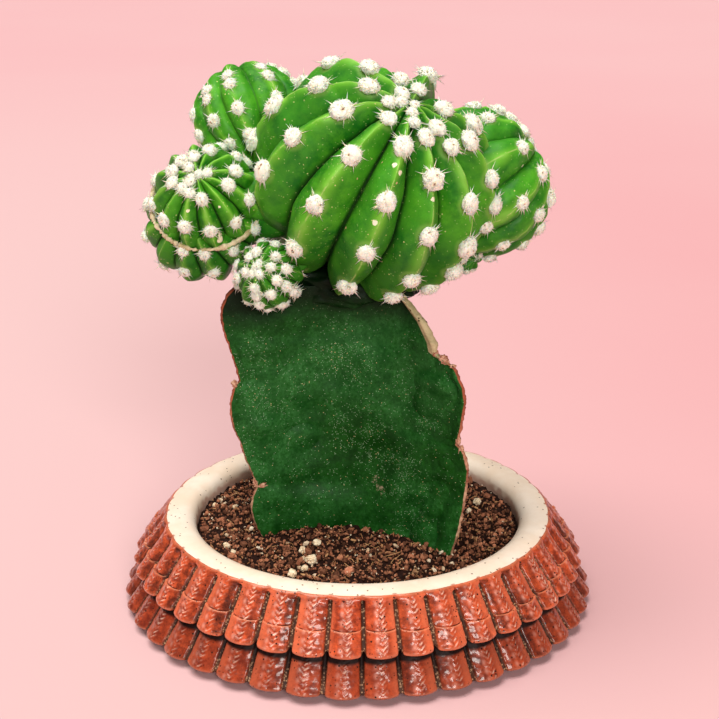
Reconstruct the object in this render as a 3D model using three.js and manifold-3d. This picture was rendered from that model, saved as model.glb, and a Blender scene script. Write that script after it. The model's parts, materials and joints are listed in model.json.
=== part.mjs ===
// A grafted cactus in a shallow tiled bowl. A cluster of round, deeply ribbed cactus heads is grafted
// onto a dark green three-winged stem, which stands in a bowl of granular soil with grit on top.
// Millimetres, +Z up. The origin is the middle of the bowl's foot, on the surface that it stands on.

import * as THREE from "three";
import { mergeVertices } from "three/addons/utils/BufferGeometryUtils.js";
import Module from "manifold-3d";

const wasm = await Module();
wasm.setup();

// ---------------------------------------------------------------- driving dimensions

const gap = 0.3; // clear space between a piece and the neighbour that carries or cuts it

// Bowl. Two tiers of upright tiles flare down and out from a smooth rim. They were pressed by hand, so each
// joint lies up to drift degrees off even spacing, the most at the bearing driftAt.
const footRadius = 66;
const footHollowRadius = 57;
const footHollowHeight = 1.5;
const tileCount = 42;
const upperTier = {
  turn: 2.4, drift: 3.4, driftAt: -90,
  topRadius: 68.7, top: 30.6, lipRadius: 80.4, lip: 15.3,
};
const lowerTier = {
  turn: 3.3, drift: 2.5, driftAt: -60,
  topRadius: 75, top: 15.8, lipRadius: 84, lip: 4,
};
const tileStep = 0.57; // where the upper tier's second course begins, down its slope
const tileStepProud = 0.5;
const stepHalfHeight = 0.3;
const tileGroove = 2.2; // depth of the joint between two tiles
const tileCurve = 0.5; // how far a tile's face falls back halfway to its joint
const wallRadius = 66.2; // the plain wall behind the upper tiles
const rimTop = 32;
const rimCrestRadius = 63.5;
const mouthRadius = 57.8;
const bowlFloor = 7;
const bowlFloorRadius = 50;
const bowlSides = 72; // flat steps around the plain parts of the bowl

// Soil.
const soilAtWall = 25.8;
const moundHeight = 3.6;
const moundCentre = [-6, -16];
const moundSpread = 34;
const soilSides = 36;

// Rootstock. Each wing's outline is a list of [height, reach from the stem's centre line].
const stemCentre = [3, -3];
const coreReach = 8.5; // from the centre line to the middle of each hollow face
const wingEdge = 2.4; // thickness of a wing at its ridge
const stemHeights = [9, 20, 28, 38, 45, 51, 60, 65, 67.5, 74, 80, 85.5, 92, 97, 102, 108, 113, 118];
const wings = [
  {
    bearing: -161.6,
    outline: [[9, 36], [26, 38], [38, 42.3], [45, 41.6], [50, 40.4], [64, 45.7], [74, 48.6], [81, 47.9],
      [85.5, 45.1], [94, 47.3], [104, 50.2], [111, 50.7], [118, 46.5]],
  },
  {
    bearing: -41.7,
    outline: [[9, 37], [28, 40], [38, 42.7], [50, 44.8], [60, 45.5], [65, 43.8], [67.5, 40.4], [73, 42.2],
      [80, 43.8], [88, 42.8], [93, 39.6], [97, 31.4], [101, 30.9], [108, 25], [118, 12]],
  },
  {
    bearing: 77.8,
    outline: [[9, 36], [28, 39], [45, 42.5], [58, 44], [65, 42.4], [67.5, 40.5], [74, 43], [92, 45],
      [97, 42], [104, 38], [118, 26]],
  },
];

// Heads. apex points along a head's axis to its woolly crown. radius is at the widest rib crests, crown and
// base are the half heights above and below that, dip is how far the crown is sunk and groove is how deep the
// furrows are. The big head's ribs are spaced by bearing; the others are even, turned by turn degrees.
const mainHead = {
  name: "main_head", centre: [5.5, -8, 153.2], apex: [0.338, -0.479, 0.81],
  radius: 41.2, crown: 36, base: 38, dip: 2.3, groove: 9,
  ribs: [24, -4, -31, -59, -85, -115, -148, -180, -216, -248, -279, -308], pointsPerRib: 4, rings: 15,
};
const offsets = [
  {
    name: "offset_left", centre: [-49.2, -14, 147.4], apex: [-0.11, -0.73, 0.67],
    radius: 17.8, crown: 16.5, base: 16, dip: 1.5, groove: 3.2, ribCount: 12, turn: 5, pointsPerRib: 2,
  },
  {
    name: "offset_left_lower", centre: [-49.2, -9, 139.2], apex: [-0.22, -0.88, 0.41],
    radius: 19.5, crown: 15, base: 16, dip: 1, groove: 3, ribCount: 12, turn: 20, pointsPerRib: 2,
  },
  {
    name: "offset_front_small", centre: [-28.5, -27, 125.2], apex: [-0.35, -0.81, 0.48],
    radius: 11.2, crown: 10.5, base: 10, dip: 0.8, groove: 1.6, ribCount: 11, turn: 0, pointsPerRib: 2,
  },
  {
    name: "offset_upper_left", centre: [-36.4, 14, 169.1], apex: [-0.32, 0.54, 0.78],
    radius: 19.2, crown: 18.5, base: 19, dip: 1.5, groove: 3.2, ribCount: 10, turn: -8,
  },
  {
    name: "offset_right", centre: [41.4, 9, 148.1], apex: [0.86, 0.06, 0.51],
    radius: 26, crown: 23.5, base: 25, dip: 2, groove: 4.5, ribCount: 10, turn: 0,
  },
  {
    name: "offset_right_lower", centre: [35.7, 2, 125.3], apex: [0.65, -0.74, -0.16],
    radius: 7.3, crown: 7, base: 7, dip: 0.5, groove: 1, ribCount: 9, turn: 0, pointsPerRib: 2,
  },
];

const crownDipSpread = 20; // degrees from the apex over which the crown sinks
const furrowFullAt = 0.57; // sine of the angle from the apex where the furrows reach their full depth
const furrowEase = 0.8;
const furrowSharpness = 1.4; // above 1, the ribs are round and the furrows are sharp

// Grit lying on the soil: [name, x, y, width].
const grit = [
  ["pumice_large", -16, -37.1, 4.6],
  ["pumice_front_left", -21.7, -45.5, 3.6],
  ["pumice_front", -17.6, -42.4, 3.2],
  ["pumice_by_stem", -13.9, -25.4, 3.2],
  ["pumice_middle", -18.8, -30.2, 3],
  ["pumice_left", -45.2, -23, 3],
  ["pumice_left_small", -42.6, -28.4, 2.6],
  ["pumice_back_left", -52.6, 12.3, 2.6],
  ["pumice_behind_left", -45, 10.6, 2.4],
  ["pumice_right", 44.2, 14.7, 3.8],
  ["pumice_right_small", 40.6, 6.8, 2.8],
  ["bark_chip", 19.2, -44, 3.2],
  ["clay_chip", -2.8, -44.6, 3.6],
];
const grainSwell = 0.12;
const grainShape = [1, 0.86, 0.8]; // length, breadth and height, as shares of the width
const grainLift = 0.16; // height of a grain's middle over the soil, as a share of the width
const grainTurn = 1.3; // radians between one grain and the next

// ---------------------------------------------------------------- finishes

const finish = (color, roughness) => new THREE.MeshStandardMaterial({ color, roughness, metalness: 0 });
const terracottaGlaze = finish(0xc25030, 0.3);
const darkSoil = finish(0x3a2118, 0.95);
const stemSkin = finish(0x1c4a22, 0.55);
const headSkin = finish(0x4c8a2c, 0.5);
const pumice = finish(0xd9c6a2, 0.9);
const bark = finish(0x8a5a36, 0.9);
const redClay = finish(0xb4553a, 0.85);

// ---------------------------------------------------------------- helpers

const degrees = THREE.MathUtils.degToRad;

// Reads a height off an outline of [height, value] points, straight between them.
function along(outline, height) {
  const next = outline.findIndex(([level]) => level >= height);
  if (next <= 0) return outline.at(next)[1];
  const [lowLevel, lowValue] = outline[next - 1];
  const [highLevel, highValue] = outline[next];
  return THREE.MathUtils.mapLinear(height, lowLevel, highLevel, lowValue, highValue);
}

// A closed skin over rings of points, from a point at the start to a point at the end.
// The rings run anticlockwise, seen from the end.
function loft(start, rings, end) {
  const count = rings[0].length;
  const points = [start, ...rings.flat(), end];
  const last = points.length - 1;
  const at = (ring, point) => 1 + ring * count + (point % count);
  const faces = [];
  for (let point = 0; point < count; point++) {
    faces.push(0, at(0, point + 1), at(0, point));
    for (let ring = 0; ring + 1 < rings.length; ring++) {
      faces.push(at(ring, point), at(ring, point + 1), at(ring + 1, point + 1));
      faces.push(at(ring, point), at(ring + 1, point + 1), at(ring + 1, point));
    }
    faces.push(last, at(rings.length - 1, point), at(rings.length - 1, point + 1));
  }
  return new THREE.BufferGeometry().setFromPoints(points).setIndex(faces);
}

// Turns a profile of [radius, height] points, from the axis back to the axis, around Z.
function turned(profile, segments) {
  const outline = profile.map(([radius, height]) => new THREE.Vector2(radius, height));
  return new THREE.LatheGeometry(outline, segments).rotateX(Math.PI / 2);
}

// A solid that can be joined and cut.
function solid(geometry) {
  const bare = geometry.clone();
  bare.deleteAttribute("normal");
  bare.deleteAttribute("uv");
  const merged = mergeVertices(bare, 1e-3);
  const corners = [];
  for (let i = 0; i < merged.index.count; i += 3) {
    const [a, b, c] = merged.index.array.slice(i, i + 3);
    if (a !== b && b !== c && c !== a) corners.push(a, b, c);
  }
  const vertProperties = new Float32Array(merged.attributes.position.array);
  return new wasm.Manifold(new wasm.Mesh({ numProp: 3, vertProperties, triVerts: new Uint32Array(corners) }));
}

// The largest body of a cut solid: a cut can leave a sliver behind.
function mainBody(manifold) {
  return manifold.decompose().reduce((best, body) => (body.volume() > best.volume() ? body : best));
}

function geometryOf(manifold) {
  const { vertProperties, triVerts } = manifold.getMesh();
  const geometry = new THREE.BufferGeometry();
  geometry.setAttribute("position", new THREE.BufferAttribute(vertProperties, 3));
  geometry.setIndex(new THREE.BufferAttribute(triVerts, 1));
  geometry.computeVertexNormals();
  return geometry;
}

const plant = new THREE.Group();

function addPart(name, manifold, material) {
  const mesh = new THREE.Mesh(geometryOf(mainBody(manifold)), material);
  mesh.name = name;
  plant.add(mesh);
}

// ---------------------------------------------------------------- bowl

// One tier of tiles: a flared ring whose face is pressed in between the tiles.
function tileTier({ turn, drift, driftAt, topRadius, top, lipRadius, lip }, stepped) {
  const tileFace = [tileGroove, tileCurve, 0, tileCurve]; // how far the face is pressed in across a tile
  const points = tileCount * tileFace.length;
  const stepHeight = THREE.MathUtils.lerp(top, lip, tileStep);
  const stepRadius = THREE.MathUtils.lerp(topRadius, lipRadius, tileStep);
  const step = stepped
    ? [[stepRadius + tileStepProud, stepHeight - stepHalfHeight], [stepRadius, stepHeight + stepHalfHeight]]
    : [];
  const profile = [[0, lip], [lipRadius, lip], ...step, [topRadius, top], [0, top]];
  const tier = turned(profile, points);
  const position = tier.attributes.position;
  for (let i = 0; i < position.count; i++) {
    const [x, y] = [position.getX(i), position.getY(i)];
    const radius = Math.hypot(x, y);
    if (radius < topRadius - 1) continue;
    const around = Math.atan2(y, x);
    const corner = Math.round((around * points) / (2 * Math.PI));
    const pressed = tileFace[THREE.MathUtils.euclideanModulo(corner, tileFace.length)];
    const reach = radius - pressed * (radius / lipRadius);
    const bearing = around + degrees(turn + drift * Math.cos(around - degrees(driftAt)));
    position.setX(i, reach * Math.cos(bearing));
    position.setY(i, reach * Math.sin(bearing));
  }
  return solid(tier);
}

function bowl() {
  const rimOuterWidth = wallRadius + 1.6 - rimCrestRadius;
  const rimRoll = new THREE.EllipseCurve(rimCrestRadius, rimTop - 2, rimOuterWidth, 2, 0, Math.PI / 2);
  const body = turned(
    [
      [0, footHollowHeight], [footHollowRadius - 1, footHollowHeight], [footHollowRadius, 0], [footRadius, 0],
      [footRadius + 1, lowerTier.lip + 1], [wallRadius, upperTier.lip + 2], [wallRadius, upperTier.top - 0.6],
      ...rimRoll.getPoints(3).map((point) => [point.x, point.y]), [0, rimTop],
    ],
    bowlSides,
  );
  const innerCrest = rimCrestRadius - 1;
  const innerWidth = innerCrest - mouthRadius;
  const innerRoll = new THREE.EllipseCurve(innerCrest, rimTop - 4, innerWidth, 4, Math.PI, Math.PI / 2, true);
  const hollow = turned(
    [
      [0, bowlFloor], [bowlFloorRadius, bowlFloor], [mouthRadius - 2, bowlFloor + 5],
      [mouthRadius, bowlFloor + 14], ...innerRoll.getPoints(3).map((point) => [point.x, point.y]),
      [innerCrest, rimTop + 5], [0, rimTop + 5],
    ],
    bowlSides,
  );
  return solid(body).add(tileTier(upperTier, true)).add(tileTier(lowerTier, false)).subtract(solid(hollow));
}

// ---------------------------------------------------------------- soil

function soilHeight(x, y) {
  const fromMound = Math.hypot(x - moundCentre[0], y - moundCentre[1]) / moundSpread;
  return soilAtWall + moundHeight * Math.exp(-fromMound * fromMound);
}

function soilBlock() {
  const edge = mouthRadius - gap;
  const profile = [
    [0, bowlFloor + gap], [bowlFloorRadius, bowlFloor + gap], [edge - 2, bowlFloor + 5],
    [edge, bowlFloor + 14], [edge, soilAtWall],
    ...[48, 36, 24, 12, 0].map((radius) => [radius, soilAtWall]),
  ];
  const block = turned(profile, soilSides);
  const position = block.attributes.position;
  for (let i = 0; i < position.count; i++) {
    if (position.getZ(i) > soilAtWall - 0.01 && Math.hypot(position.getX(i), position.getY(i)) < edge - 1) {
      position.setZ(i, soilHeight(position.getX(i), position.getY(i)));
    }
  }
  return solid(block);
}

// An uneven grain, half sunk in the soil. Each grain's number gives it its own shape.
function grain([, x, y, width], number, grow = 0) {
  const lump = new THREE.IcosahedronGeometry(width / 2 + grow, width > 3.5 ? 1 : 0);
  const position = lump.attributes.position;
  for (let i = 0; i < position.count; i++) {
    const [x0, y0, z0] = [position.getX(i), position.getY(i), position.getZ(i)];
    const ripple = Math.sin((3 * x0) / width + number) * Math.cos((4 * y0) / width + 2 * number);
    const [sx, sy, sz] = grainShape.map((share) => share * (1 + grainSwell * ripple));
    position.setXYZ(i, x0 * sx, y0 * sy, z0 * sz);
  }
  lump.rotateZ(number * grainTurn).translate(x, y, soilHeight(x, y) + width * grainLift);
  return solid(lump);
}

// ---------------------------------------------------------------- rootstock

// The stem's section at a height: three narrow wing edges joined by hollow faces.
function stemSection(height, grow) {
  const ridges = wings.map(({ bearing, outline }) => {
    const outward = new THREE.Vector2(Math.cos(degrees(bearing)), Math.sin(degrees(bearing)));
    const sideways = new THREE.Vector2(-outward.y, outward.x).multiplyScalar(wingEdge / 2 + grow);
    const tip = outward.clone().multiplyScalar(along(outline, height) + grow);
    const shoulder = outward.clone().multiplyScalar(along(outline, height) - wingEdge / 2);
    return { outward, tip, before: shoulder.clone().sub(sideways), after: shoulder.clone().add(sideways) };
  });
  const points = ridges.flatMap((ridge, i) => {
    const next = ridges[(i + 1) % ridges.length];
    const middle = ridge.outward.clone().add(next.outward).normalize().multiplyScalar(coreReach + grow);
    const pull = middle.multiplyScalar(2).sub(ridge.after.clone().add(next.before).multiplyScalar(0.5));
    const face = new THREE.QuadraticBezierCurve(ridge.after, pull, next.before);
    return [ridge.before, ridge.tip, ...face.getPoints(6).slice(0, -1)];
  });
  return points.map(({ x, y }) => new THREE.Vector3(x + stemCentre[0], y + stemCentre[1], height));
}

function stem(grow = 0) {
  const rings = stemHeights.map((height) => stemSection(height, grow));
  const [low, high] = [stemHeights[0] - grow, stemHeights.at(-1) + grow];
  rings[0].forEach((point) => point.setZ(low));
  rings.at(-1).forEach((point) => point.setZ(high));
  return solid(loft(new THREE.Vector3(...stemCentre, low), rings, new THREE.Vector3(...stemCentre, high)));
}

// ---------------------------------------------------------------- heads

// A head: an egg-shaped body with a sunken crown, pressed in along the furrow between each two ribs.
function head(shape, grow = 0, furrowed = true) {
  const { centre, apex, radius, crown, base, dip, groove } = shape;
  const { ribs, ribCount, turn, pointsPerRib = 4, rings = 9 } = shape;
  const bearings = ribs ?? Array.from({ length: ribCount }, (_, rib) => turn - (rib * 360) / ribCount);
  const axis = new THREE.Vector3(...apex).normalize();
  const across = new THREE.Vector3(0, 1, 0).cross(axis).normalize();
  const beyond = axis.clone().cross(across);
  const middle = new THREE.Vector3(...centre);
  const place = (outward, height, bearing) => middle.clone()
    .addScaledVector(across, outward * Math.cos(bearing))
    .addScaledVector(beyond, outward * Math.sin(bearing))
    .addScaledVector(axis, height);
  const spokes = bearings.toReversed().flatMap((bearing, i, all) => {
    const next = all[(i + 1) % all.length] + (i + 1 === all.length ? 360 : 0);
    return Array.from({ length: pointsPerRib }, (_, point) => {
      const share = point / pointsPerRib;
      const fromCrest = 1 - Math.abs(2 * share - 1);
      return { bearing: degrees(THREE.MathUtils.lerp(bearing, next, share)), fromCrest };
    });
  });
  const ringAt = (fromApex) => {
    const sunk = dip * Math.exp(-((fromApex / degrees(crownDipSpread)) ** 2));
    const pressed = furrowed ? groove * Math.min(1, Math.sin(fromApex) / furrowFullAt) ** furrowEase : 0;
    const half = (fromApex < Math.PI / 2 ? crown : base) + grow;
    return spokes.map(({ bearing, fromCrest }) => {
      const inward = pressed * fromCrest ** furrowSharpness;
      const outward = (radius + grow - inward) * Math.sin(fromApex);
      return place(outward, (half - inward) * Math.cos(fromApex) - sunk, bearing);
    });
  };
  const stops = Array.from({ length: rings }, (_, ring) => Math.PI - (Math.PI * (ring + 1)) / (rings + 1));
  return solid(loft(place(0, -base - grow, 0), stops.map(ringAt), place(0, crown + grow - dip, 0)));
}

// ---------------------------------------------------------------- assembly

addPart("pot", bowl(), terracottaGlaze);

const grownHeads = [mainHead, ...offsets].map((shape) => head(shape, gap, false));
let rootstock = stem();
for (const blocker of grownHeads) rootstock = rootstock.subtract(blocker);
addPart("rootstock", rootstock, stemSkin);

let soil = soilBlock().subtract(stem(gap));
grit.forEach((piece, number) => {
  soil = soil.subtract(grain(piece, number, gap));
});
addPart("soil", soil, darkSoil);

addPart(mainHead.name, head(mainHead), headSkin);
offsets.forEach((shape, number) => {
  const body = grownHeads.slice(0, number + 1).reduce((rest, blocker) => rest.subtract(blocker), head(shape));
  addPart(shape.name, body, headSkin);
});

grit.forEach((piece, number) => {
  const material = { bark_chip: bark, clay_chip: redClay }[piece[0]] ?? pumice;
  addPart(piece[0], grain(piece, number), material);
});

export default plant;
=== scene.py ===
# %% [markdown]
# # A grafted cactus in a tiled bowl
# A cluster of ribbed cactus heads is grafted onto a dark three-winged stem, and the stem stands in a
# shallow bowl of loose soil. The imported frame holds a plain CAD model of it. This lesson builds the
# surfaces that show in its place, at its size: first the camera and light, then the finishes, the bowl,
# the soil, the stem, the heads and their wool.

# %% Load the frame
import json
import math

import bpy
import numpy as np
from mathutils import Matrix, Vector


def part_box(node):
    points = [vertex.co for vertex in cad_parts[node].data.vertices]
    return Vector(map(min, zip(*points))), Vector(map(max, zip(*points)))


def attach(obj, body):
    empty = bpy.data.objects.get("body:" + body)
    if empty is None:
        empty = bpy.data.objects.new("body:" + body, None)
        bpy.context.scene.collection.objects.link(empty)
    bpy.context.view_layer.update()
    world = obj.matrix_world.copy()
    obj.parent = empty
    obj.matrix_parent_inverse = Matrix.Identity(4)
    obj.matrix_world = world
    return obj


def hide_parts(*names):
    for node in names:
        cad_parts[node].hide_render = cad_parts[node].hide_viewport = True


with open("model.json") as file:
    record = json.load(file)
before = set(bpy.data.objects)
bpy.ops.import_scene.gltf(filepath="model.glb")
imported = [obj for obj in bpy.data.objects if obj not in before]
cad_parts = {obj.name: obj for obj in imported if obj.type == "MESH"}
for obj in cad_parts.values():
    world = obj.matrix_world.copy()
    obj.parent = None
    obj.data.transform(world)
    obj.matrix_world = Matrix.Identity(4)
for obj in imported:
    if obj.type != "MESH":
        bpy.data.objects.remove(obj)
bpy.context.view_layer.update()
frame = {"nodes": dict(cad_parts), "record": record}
mm = 0.001
print("frame:", len(frame["nodes"]), "pieces")

# %% [markdown]
# ## Camera
# The photo was taken from a little above the plant with a long lens. A longer lens flattens the view, so
# the place and the lens are set together. The lens is given for a 36 mm sensor.

# %% The photo's viewpoint
camera = bpy.data.objects.new("camera", bpy.data.cameras.new("camera"))
camera.data.sensor_width = 36
camera.data.lens = 75.1
camera.data.clip_end = 60
camera.location = (0.0007, -0.4943, 0.2548)
look_down = 18.72
camera.rotation_euler = (math.radians(90 - look_down), 0, 0)
scene = bpy.context.scene
scene.collection.objects.link(camera)
scene.camera = camera
scene.view_settings.view_transform = "Standard"
print("camera", round(camera.location.length, 3), "m from the bowl's foot")

# %% [markdown]
# ## Light
# The plant stands in even studio light: a very broad lamp almost overhead and a little to the left, so
# that soft shadows fall to the right, and a smaller one in front, which puts the small glints on the
# glaze. Sun lamps are used, because they light a near and a far floor alike. A pale surround fills the
# shadows.

# %% Two lamps and a pale surround
warm_white = (1.0, 0.98, 0.92)


def hang_lamp(name, coming_from, strength, width):
    """A sun lamp. Its width in degrees is how broad it looks: a broader lamp gives softer shadows."""
    lamp = bpy.data.objects.new(name, bpy.data.lights.new(name, "SUN"))
    lamp.data.energy = strength
    lamp.data.angle = math.radians(width)
    lamp.data.color = warm_white
    x, y, z = coming_from
    lamp.rotation_euler = (math.atan2(math.hypot(x, y), z), 0, math.atan2(x, -y))
    scene.collection.objects.link(lamp)


hang_lamp("high_lamp", (-0.22, -0.06, 1.0), 3.45, 50)
hang_lamp("front_lamp", (0.22, -1.0, 0.48), 2.0, 22)

scene.world = bpy.data.worlds.new("pale_surround")
scene.world.use_nodes = True
surround = scene.world.node_tree.nodes["Background"].inputs
surround["Color"].default_value = (1.0, 0.86, 0.84, 1)
surround["Strength"].default_value = 0.115
print("lamps:", ", ".join(lamp.name for lamp in bpy.data.lights))

# %% [markdown]
# ## Tools for making finishes
# A finish is a small network of shader nodes. Written node by node it is hard to read, so what varies
# over a surface is wrapped as a Value. A sum or a product of values then adds the Math node that works
# it out.

# %% Values and nodes
class Value:
    """A number, colour or normal that varies over a surface."""

    def __init__(self, tree, socket):
        self.tree = tree
        self.socket = socket

    def math(self, operation, other):
        return add(self.tree, "Math", {0: self, 1: other}, operation=operation)

    def __add__(self, other):
        return self.math("ADD", other)

    def __mul__(self, other):
        return self.math("MULTIPLY", other)

    def step(self, low, high):
        """0 at low, 1 at high and a soft step from one to the other."""
        limits = {"Value": self, "From Min": low, "From Max": high}
        return add(self.tree, "MapRange", limits, interpolation_type="SMOOTHSTEP")

    def beside(self, name):
        """Another output of the node that this value comes from."""
        return Value(self.tree, self.socket.node.outputs[name])


def fill(tree, node, inputs):
    """Fills a node's inputs. A Value is linked and anything else is set."""
    for socket, value in inputs.items():
        if isinstance(value, Value):
            tree.links.new(value.socket, node.inputs[socket])
        else:
            node.inputs[socket].default_value = value


def add(tree, kind, inputs=(), gives=0, **settings):
    """Adds a shader node, fills its inputs and gives back one of its outputs."""
    node = tree.nodes.new("ShaderNode" + kind)
    for setting, choice in settings.items():
        setattr(node, setting, choice)
    fill(tree, node, dict(inputs))
    return Value(tree, node.outputs[gives])


# %% [markdown]
# ## Effects that several finishes share
# Real surfaces are never one colour. Three effects are built once, as node groups, and placed in each
# finish with their own values: a cloudy mottle, sparse flecks, and a fine grain that only tilts the
# surface normal.

# %% The shared groups
def mottle(group, place, scale, roughness):
    """Soft clouds, from 0 between them to 1 inside."""
    cloud = {"Vector": place, "Scale": scale, "Detail": 5, "Roughness": roughness}
    return add(group, "TexNoise", cloud, "Fac").step(0.34, 0.66)


def flecks(group, place, scale, size, share):
    """Cells of which a share is drawn by lot to hold a fleck with a ragged outline."""
    cells = add(group, "TexVoronoi", {"Vector": place, "Scale": scale}, "Color")
    chosen = add(group, "SeparateColor", {"Color": cells}, "Red").math("LESS_THAN", share)
    ragged = add(group, "TexNoise", {"Vector": place, "Scale": 2500, "Detail": 2}, "Fac")
    return cells.beside("Distance").math("LESS_THAN", size * (ragged + 0.5)) * chosen


def grain(group, place, scale, strength, depth):
    """A normal that fine unevenness tilts this way and that."""
    fine = add(group, "TexNoise", {"Vector": place, "Scale": scale, "Detail": 4, "Roughness": 0.65}, "Fac")
    return add(group, "Bump", {"Strength": strength, "Distance": depth, "Height": fine})


def build_group(effect, gives, kind, **inputs):
    """Makes a node group of an effect. The inputs and the one output have names."""
    group = bpy.data.node_groups.new(effect.__name__, "ShaderNodeTree")
    for socket, value in inputs.items():
        made = group.interface.new_socket(socket, in_out="INPUT", socket_type="NodeSocketFloat")
        made.default_value = value
    group.interface.new_socket(gives, in_out="OUTPUT", socket_type=kind)
    start = group.nodes.new("NodeGroupInput")
    end = group.nodes.new("NodeGroupOutput")
    place = add(group, "TexCoord", gives="Object")
    fill(group, end, {gives: effect(group, place, *(Value(group, start.outputs[name]) for name in inputs))})
    return group


shared = {
    "mottle": build_group(mottle, "Cloud", "NodeSocketFloat", Scale=80, Roughness=0.6),
    "flecks": build_group(flecks, "Mask", "NodeSocketFloat", Scale=700, Size=0.3, Share=0.3),
    "grain": build_group(grain, "Normal", "NodeSocketVector", Scale=900, Strength=0.3, Depth=0.0002),
}
print("shared effects:", ", ".join(shared))

# %% [markdown]
# Paint on a real thing lies in layers, and a finish is written the same way: a first colour, and then
# coats, each with the share of the surface that it covers. What is the same all over is set on the
# shader itself.

# %% A finish
# A Mix node has sockets of the same names for numbers and for colours, so these are given by their places.
mix_share, mix_under, mix_over, mix_result = 0, 6, 7, 2


def opaque(colour):
    """A plain colour with its alpha. A Value stays as it is."""
    return (*colour, 1) if isinstance(colour, tuple) else colour


class Finish:
    """A material that is being made, with its shader's inputs and the place on the surface."""

    def __init__(self, name, **constants):
        self.material = bpy.data.materials.new(name)
        self.material.use_nodes = True
        self.tree = self.material.node_tree
        self.shader = self.tree.nodes["Principled BSDF"]
        for socket, value in constants.items():
            self.shader.inputs[socket.replace("_", " ")].default_value = value
        self.place = add(self.tree, "TexCoord", gives="Object")

    def use(self, name, **values):
        """Places a shared group with its own values."""
        placed = self.tree.nodes.new("ShaderNodeGroup")
        placed.node_tree = shared[name]
        fill(self.tree, placed, values)
        return Value(self.tree, placed.outputs[0])

    def mottle(self, scale, roughness):
        return self.use("mottle", Scale=scale, Roughness=roughness)

    def flecks(self, scale, size, share):
        return self.use("flecks", Scale=scale, Size=size, Share=share)

    def mark(self, name):
        """A value that was written on the mesh's points."""
        return add(self.tree, "Attribute", gives="Fac", attribute_name=name)

    def along(self, axis):
        """The place along an axis, in metres."""
        return add(self.tree, "SeparateXYZ", {"Vector": self.place}, axis)

    def near(self, spot, reach):
        """1 around a spot, given in millimetres, and 0 beyond its reach."""
        spot = tuple(v * mm for v in spot)
        away = add(self.tree, "VectorMath", {0: self.place, 1: spot}, "Value", operation="DISTANCE")
        return away.step(reach * mm, reach * mm * 0.35)

    def coats(self, colour, *layers):
        """Lays coats over a first colour. Each is the share that it covers, from 0 to 1, and its colour."""
        for share, coat in layers:
            inputs = {mix_share: share, mix_under: opaque(colour), mix_over: opaque(coat)}
            colour = add(self.tree, "Mix", inputs, mix_result, data_type="RGBA")
        return colour

    def wire(self, grain=None, **inputs):
        """Links values to the shader. The grain is given as its scale, strength and depth."""
        if grain:
            scale, strength, depth = grain
            inputs["Normal"] = self.use("grain", Scale=scale, Strength=strength, Depth=depth)
        fill(self.tree, self.shader, {socket.replace("_", " "): value for socket, value in inputs.items()})
        print("finish:", self.material.name, "of", len(self.tree.nodes), "nodes")
        return self.material


# %% [markdown]
# ## Floor
# The floor is a wide matte sheet of pale blush paper. It reaches far behind the plant, so that no edge or
# horizon shows from the photo's viewpoint. Painted shade makes it deeper to the right and far behind. A faint
# cloudiness keeps it from looking like flat paint.

# %% Blush paper floor
def blush_paper():
    finish = Finish("blush_paper", Roughness=0.9)
    behind = finish.along("Y").step(-0.25, 0.3) * 0.5 + 0.5
    colour = finish.coats(
        (0.69, 0.448, 0.46),
        # Painted shade: the paper is coloured deeper to the right and far behind.
        (behind * finish.along("X").step(-0.2, 0.24), (0.675, 0.335, 0.36)),  # deeper to the right
        (finish.along("Y").step(0.3, 1.6), (0.69, 0.39, 0.415)),  # and far behind
        (finish.mottle(3, 0.4) * 0.12, (0.70, 0.465, 0.475)))
    return finish.wire(Base_Color=colour)


floor_reach = 20.0
floor_mesh = bpy.data.meshes.new("floor")
corners = [(-1, -1), (1, -1), (1, 1), (-1, 1)]
floor_mesh.from_pydata([(x * floor_reach, y * floor_reach, 0) for x, y in corners], [], [(0, 1, 2, 3)])
floor_mesh.materials.append(blush_paper())
floor = bpy.data.objects.new("floor", floor_mesh)
scene.collection.objects.link(floor)

# %% [markdown]
# ## Tools for making shapes
# Every shape is worked out in millimetres as rows of points with numpy, and turned into a mesh in one
# place. Beside its points a mesh can carry marks: a number for each point, such as "this is a furrow",
# that its finish reads. A seeded sum of waves gives smooth unevenness that comes out the same on each
# run.

# %% Mesh helpers
def make_piece(name, points, tables, finish, slot, replaces=(), smooth=True, **marks):
    """Makes a mesh from points in millimetres and tables of faces, puts it in place and prints its size."""
    mesh = bpy.data.meshes.new(name)
    faces = [face for table in tables for face in table.tolist()]
    mesh.from_pydata((np.asarray(points) * mm).tolist(), [], faces)
    mesh.polygons.foreach_set("use_smooth", np.full(len(mesh.polygons), smooth))
    for label, values in marks.items():
        values = np.float32(np.broadcast_to(values, len(points)))
        mesh.attributes.new(label, "FLOAT", "POINT").data.foreach_set("value", values)
    mesh.materials.append(finish)
    piece = bpy.data.objects.new(name, mesh)
    scene.collection.objects.link(piece)
    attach(piece, "root")
    if replaces:
        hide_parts(*replaces)
    print(f"{name}: {len(points)} points, {len(mesh.polygons)} faces, {np.ptp(points, axis=0).round(1)} mm")


def skin(rings, start, end):
    """A closed skin over a stack of rings, each anticlockwise seen from the end, with a point at each end."""
    stack, count = len(rings), len(rings[0])
    row, step = np.mgrid[0:stack - 1, 0:count]
    low, high, beside = row * count, (row + 1) * count, (step + 1) % count
    sides = np.stack([low + step, low + beside, high + beside, high + step], -1).reshape(-1, 4)
    turn = np.arange(count)
    follow = (turn + 1) % count
    last = (stack - 1) * count
    start_fan = np.stack([np.full(count, last + count), follow, turn], -1)
    end_fan = np.stack([np.full(count, last + count + 1), last + turn, last + follow], -1)
    return np.concatenate([np.reshape(rings, (-1, 3)), [start], [end]]), [sides, start_fan, end_fan]


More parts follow.
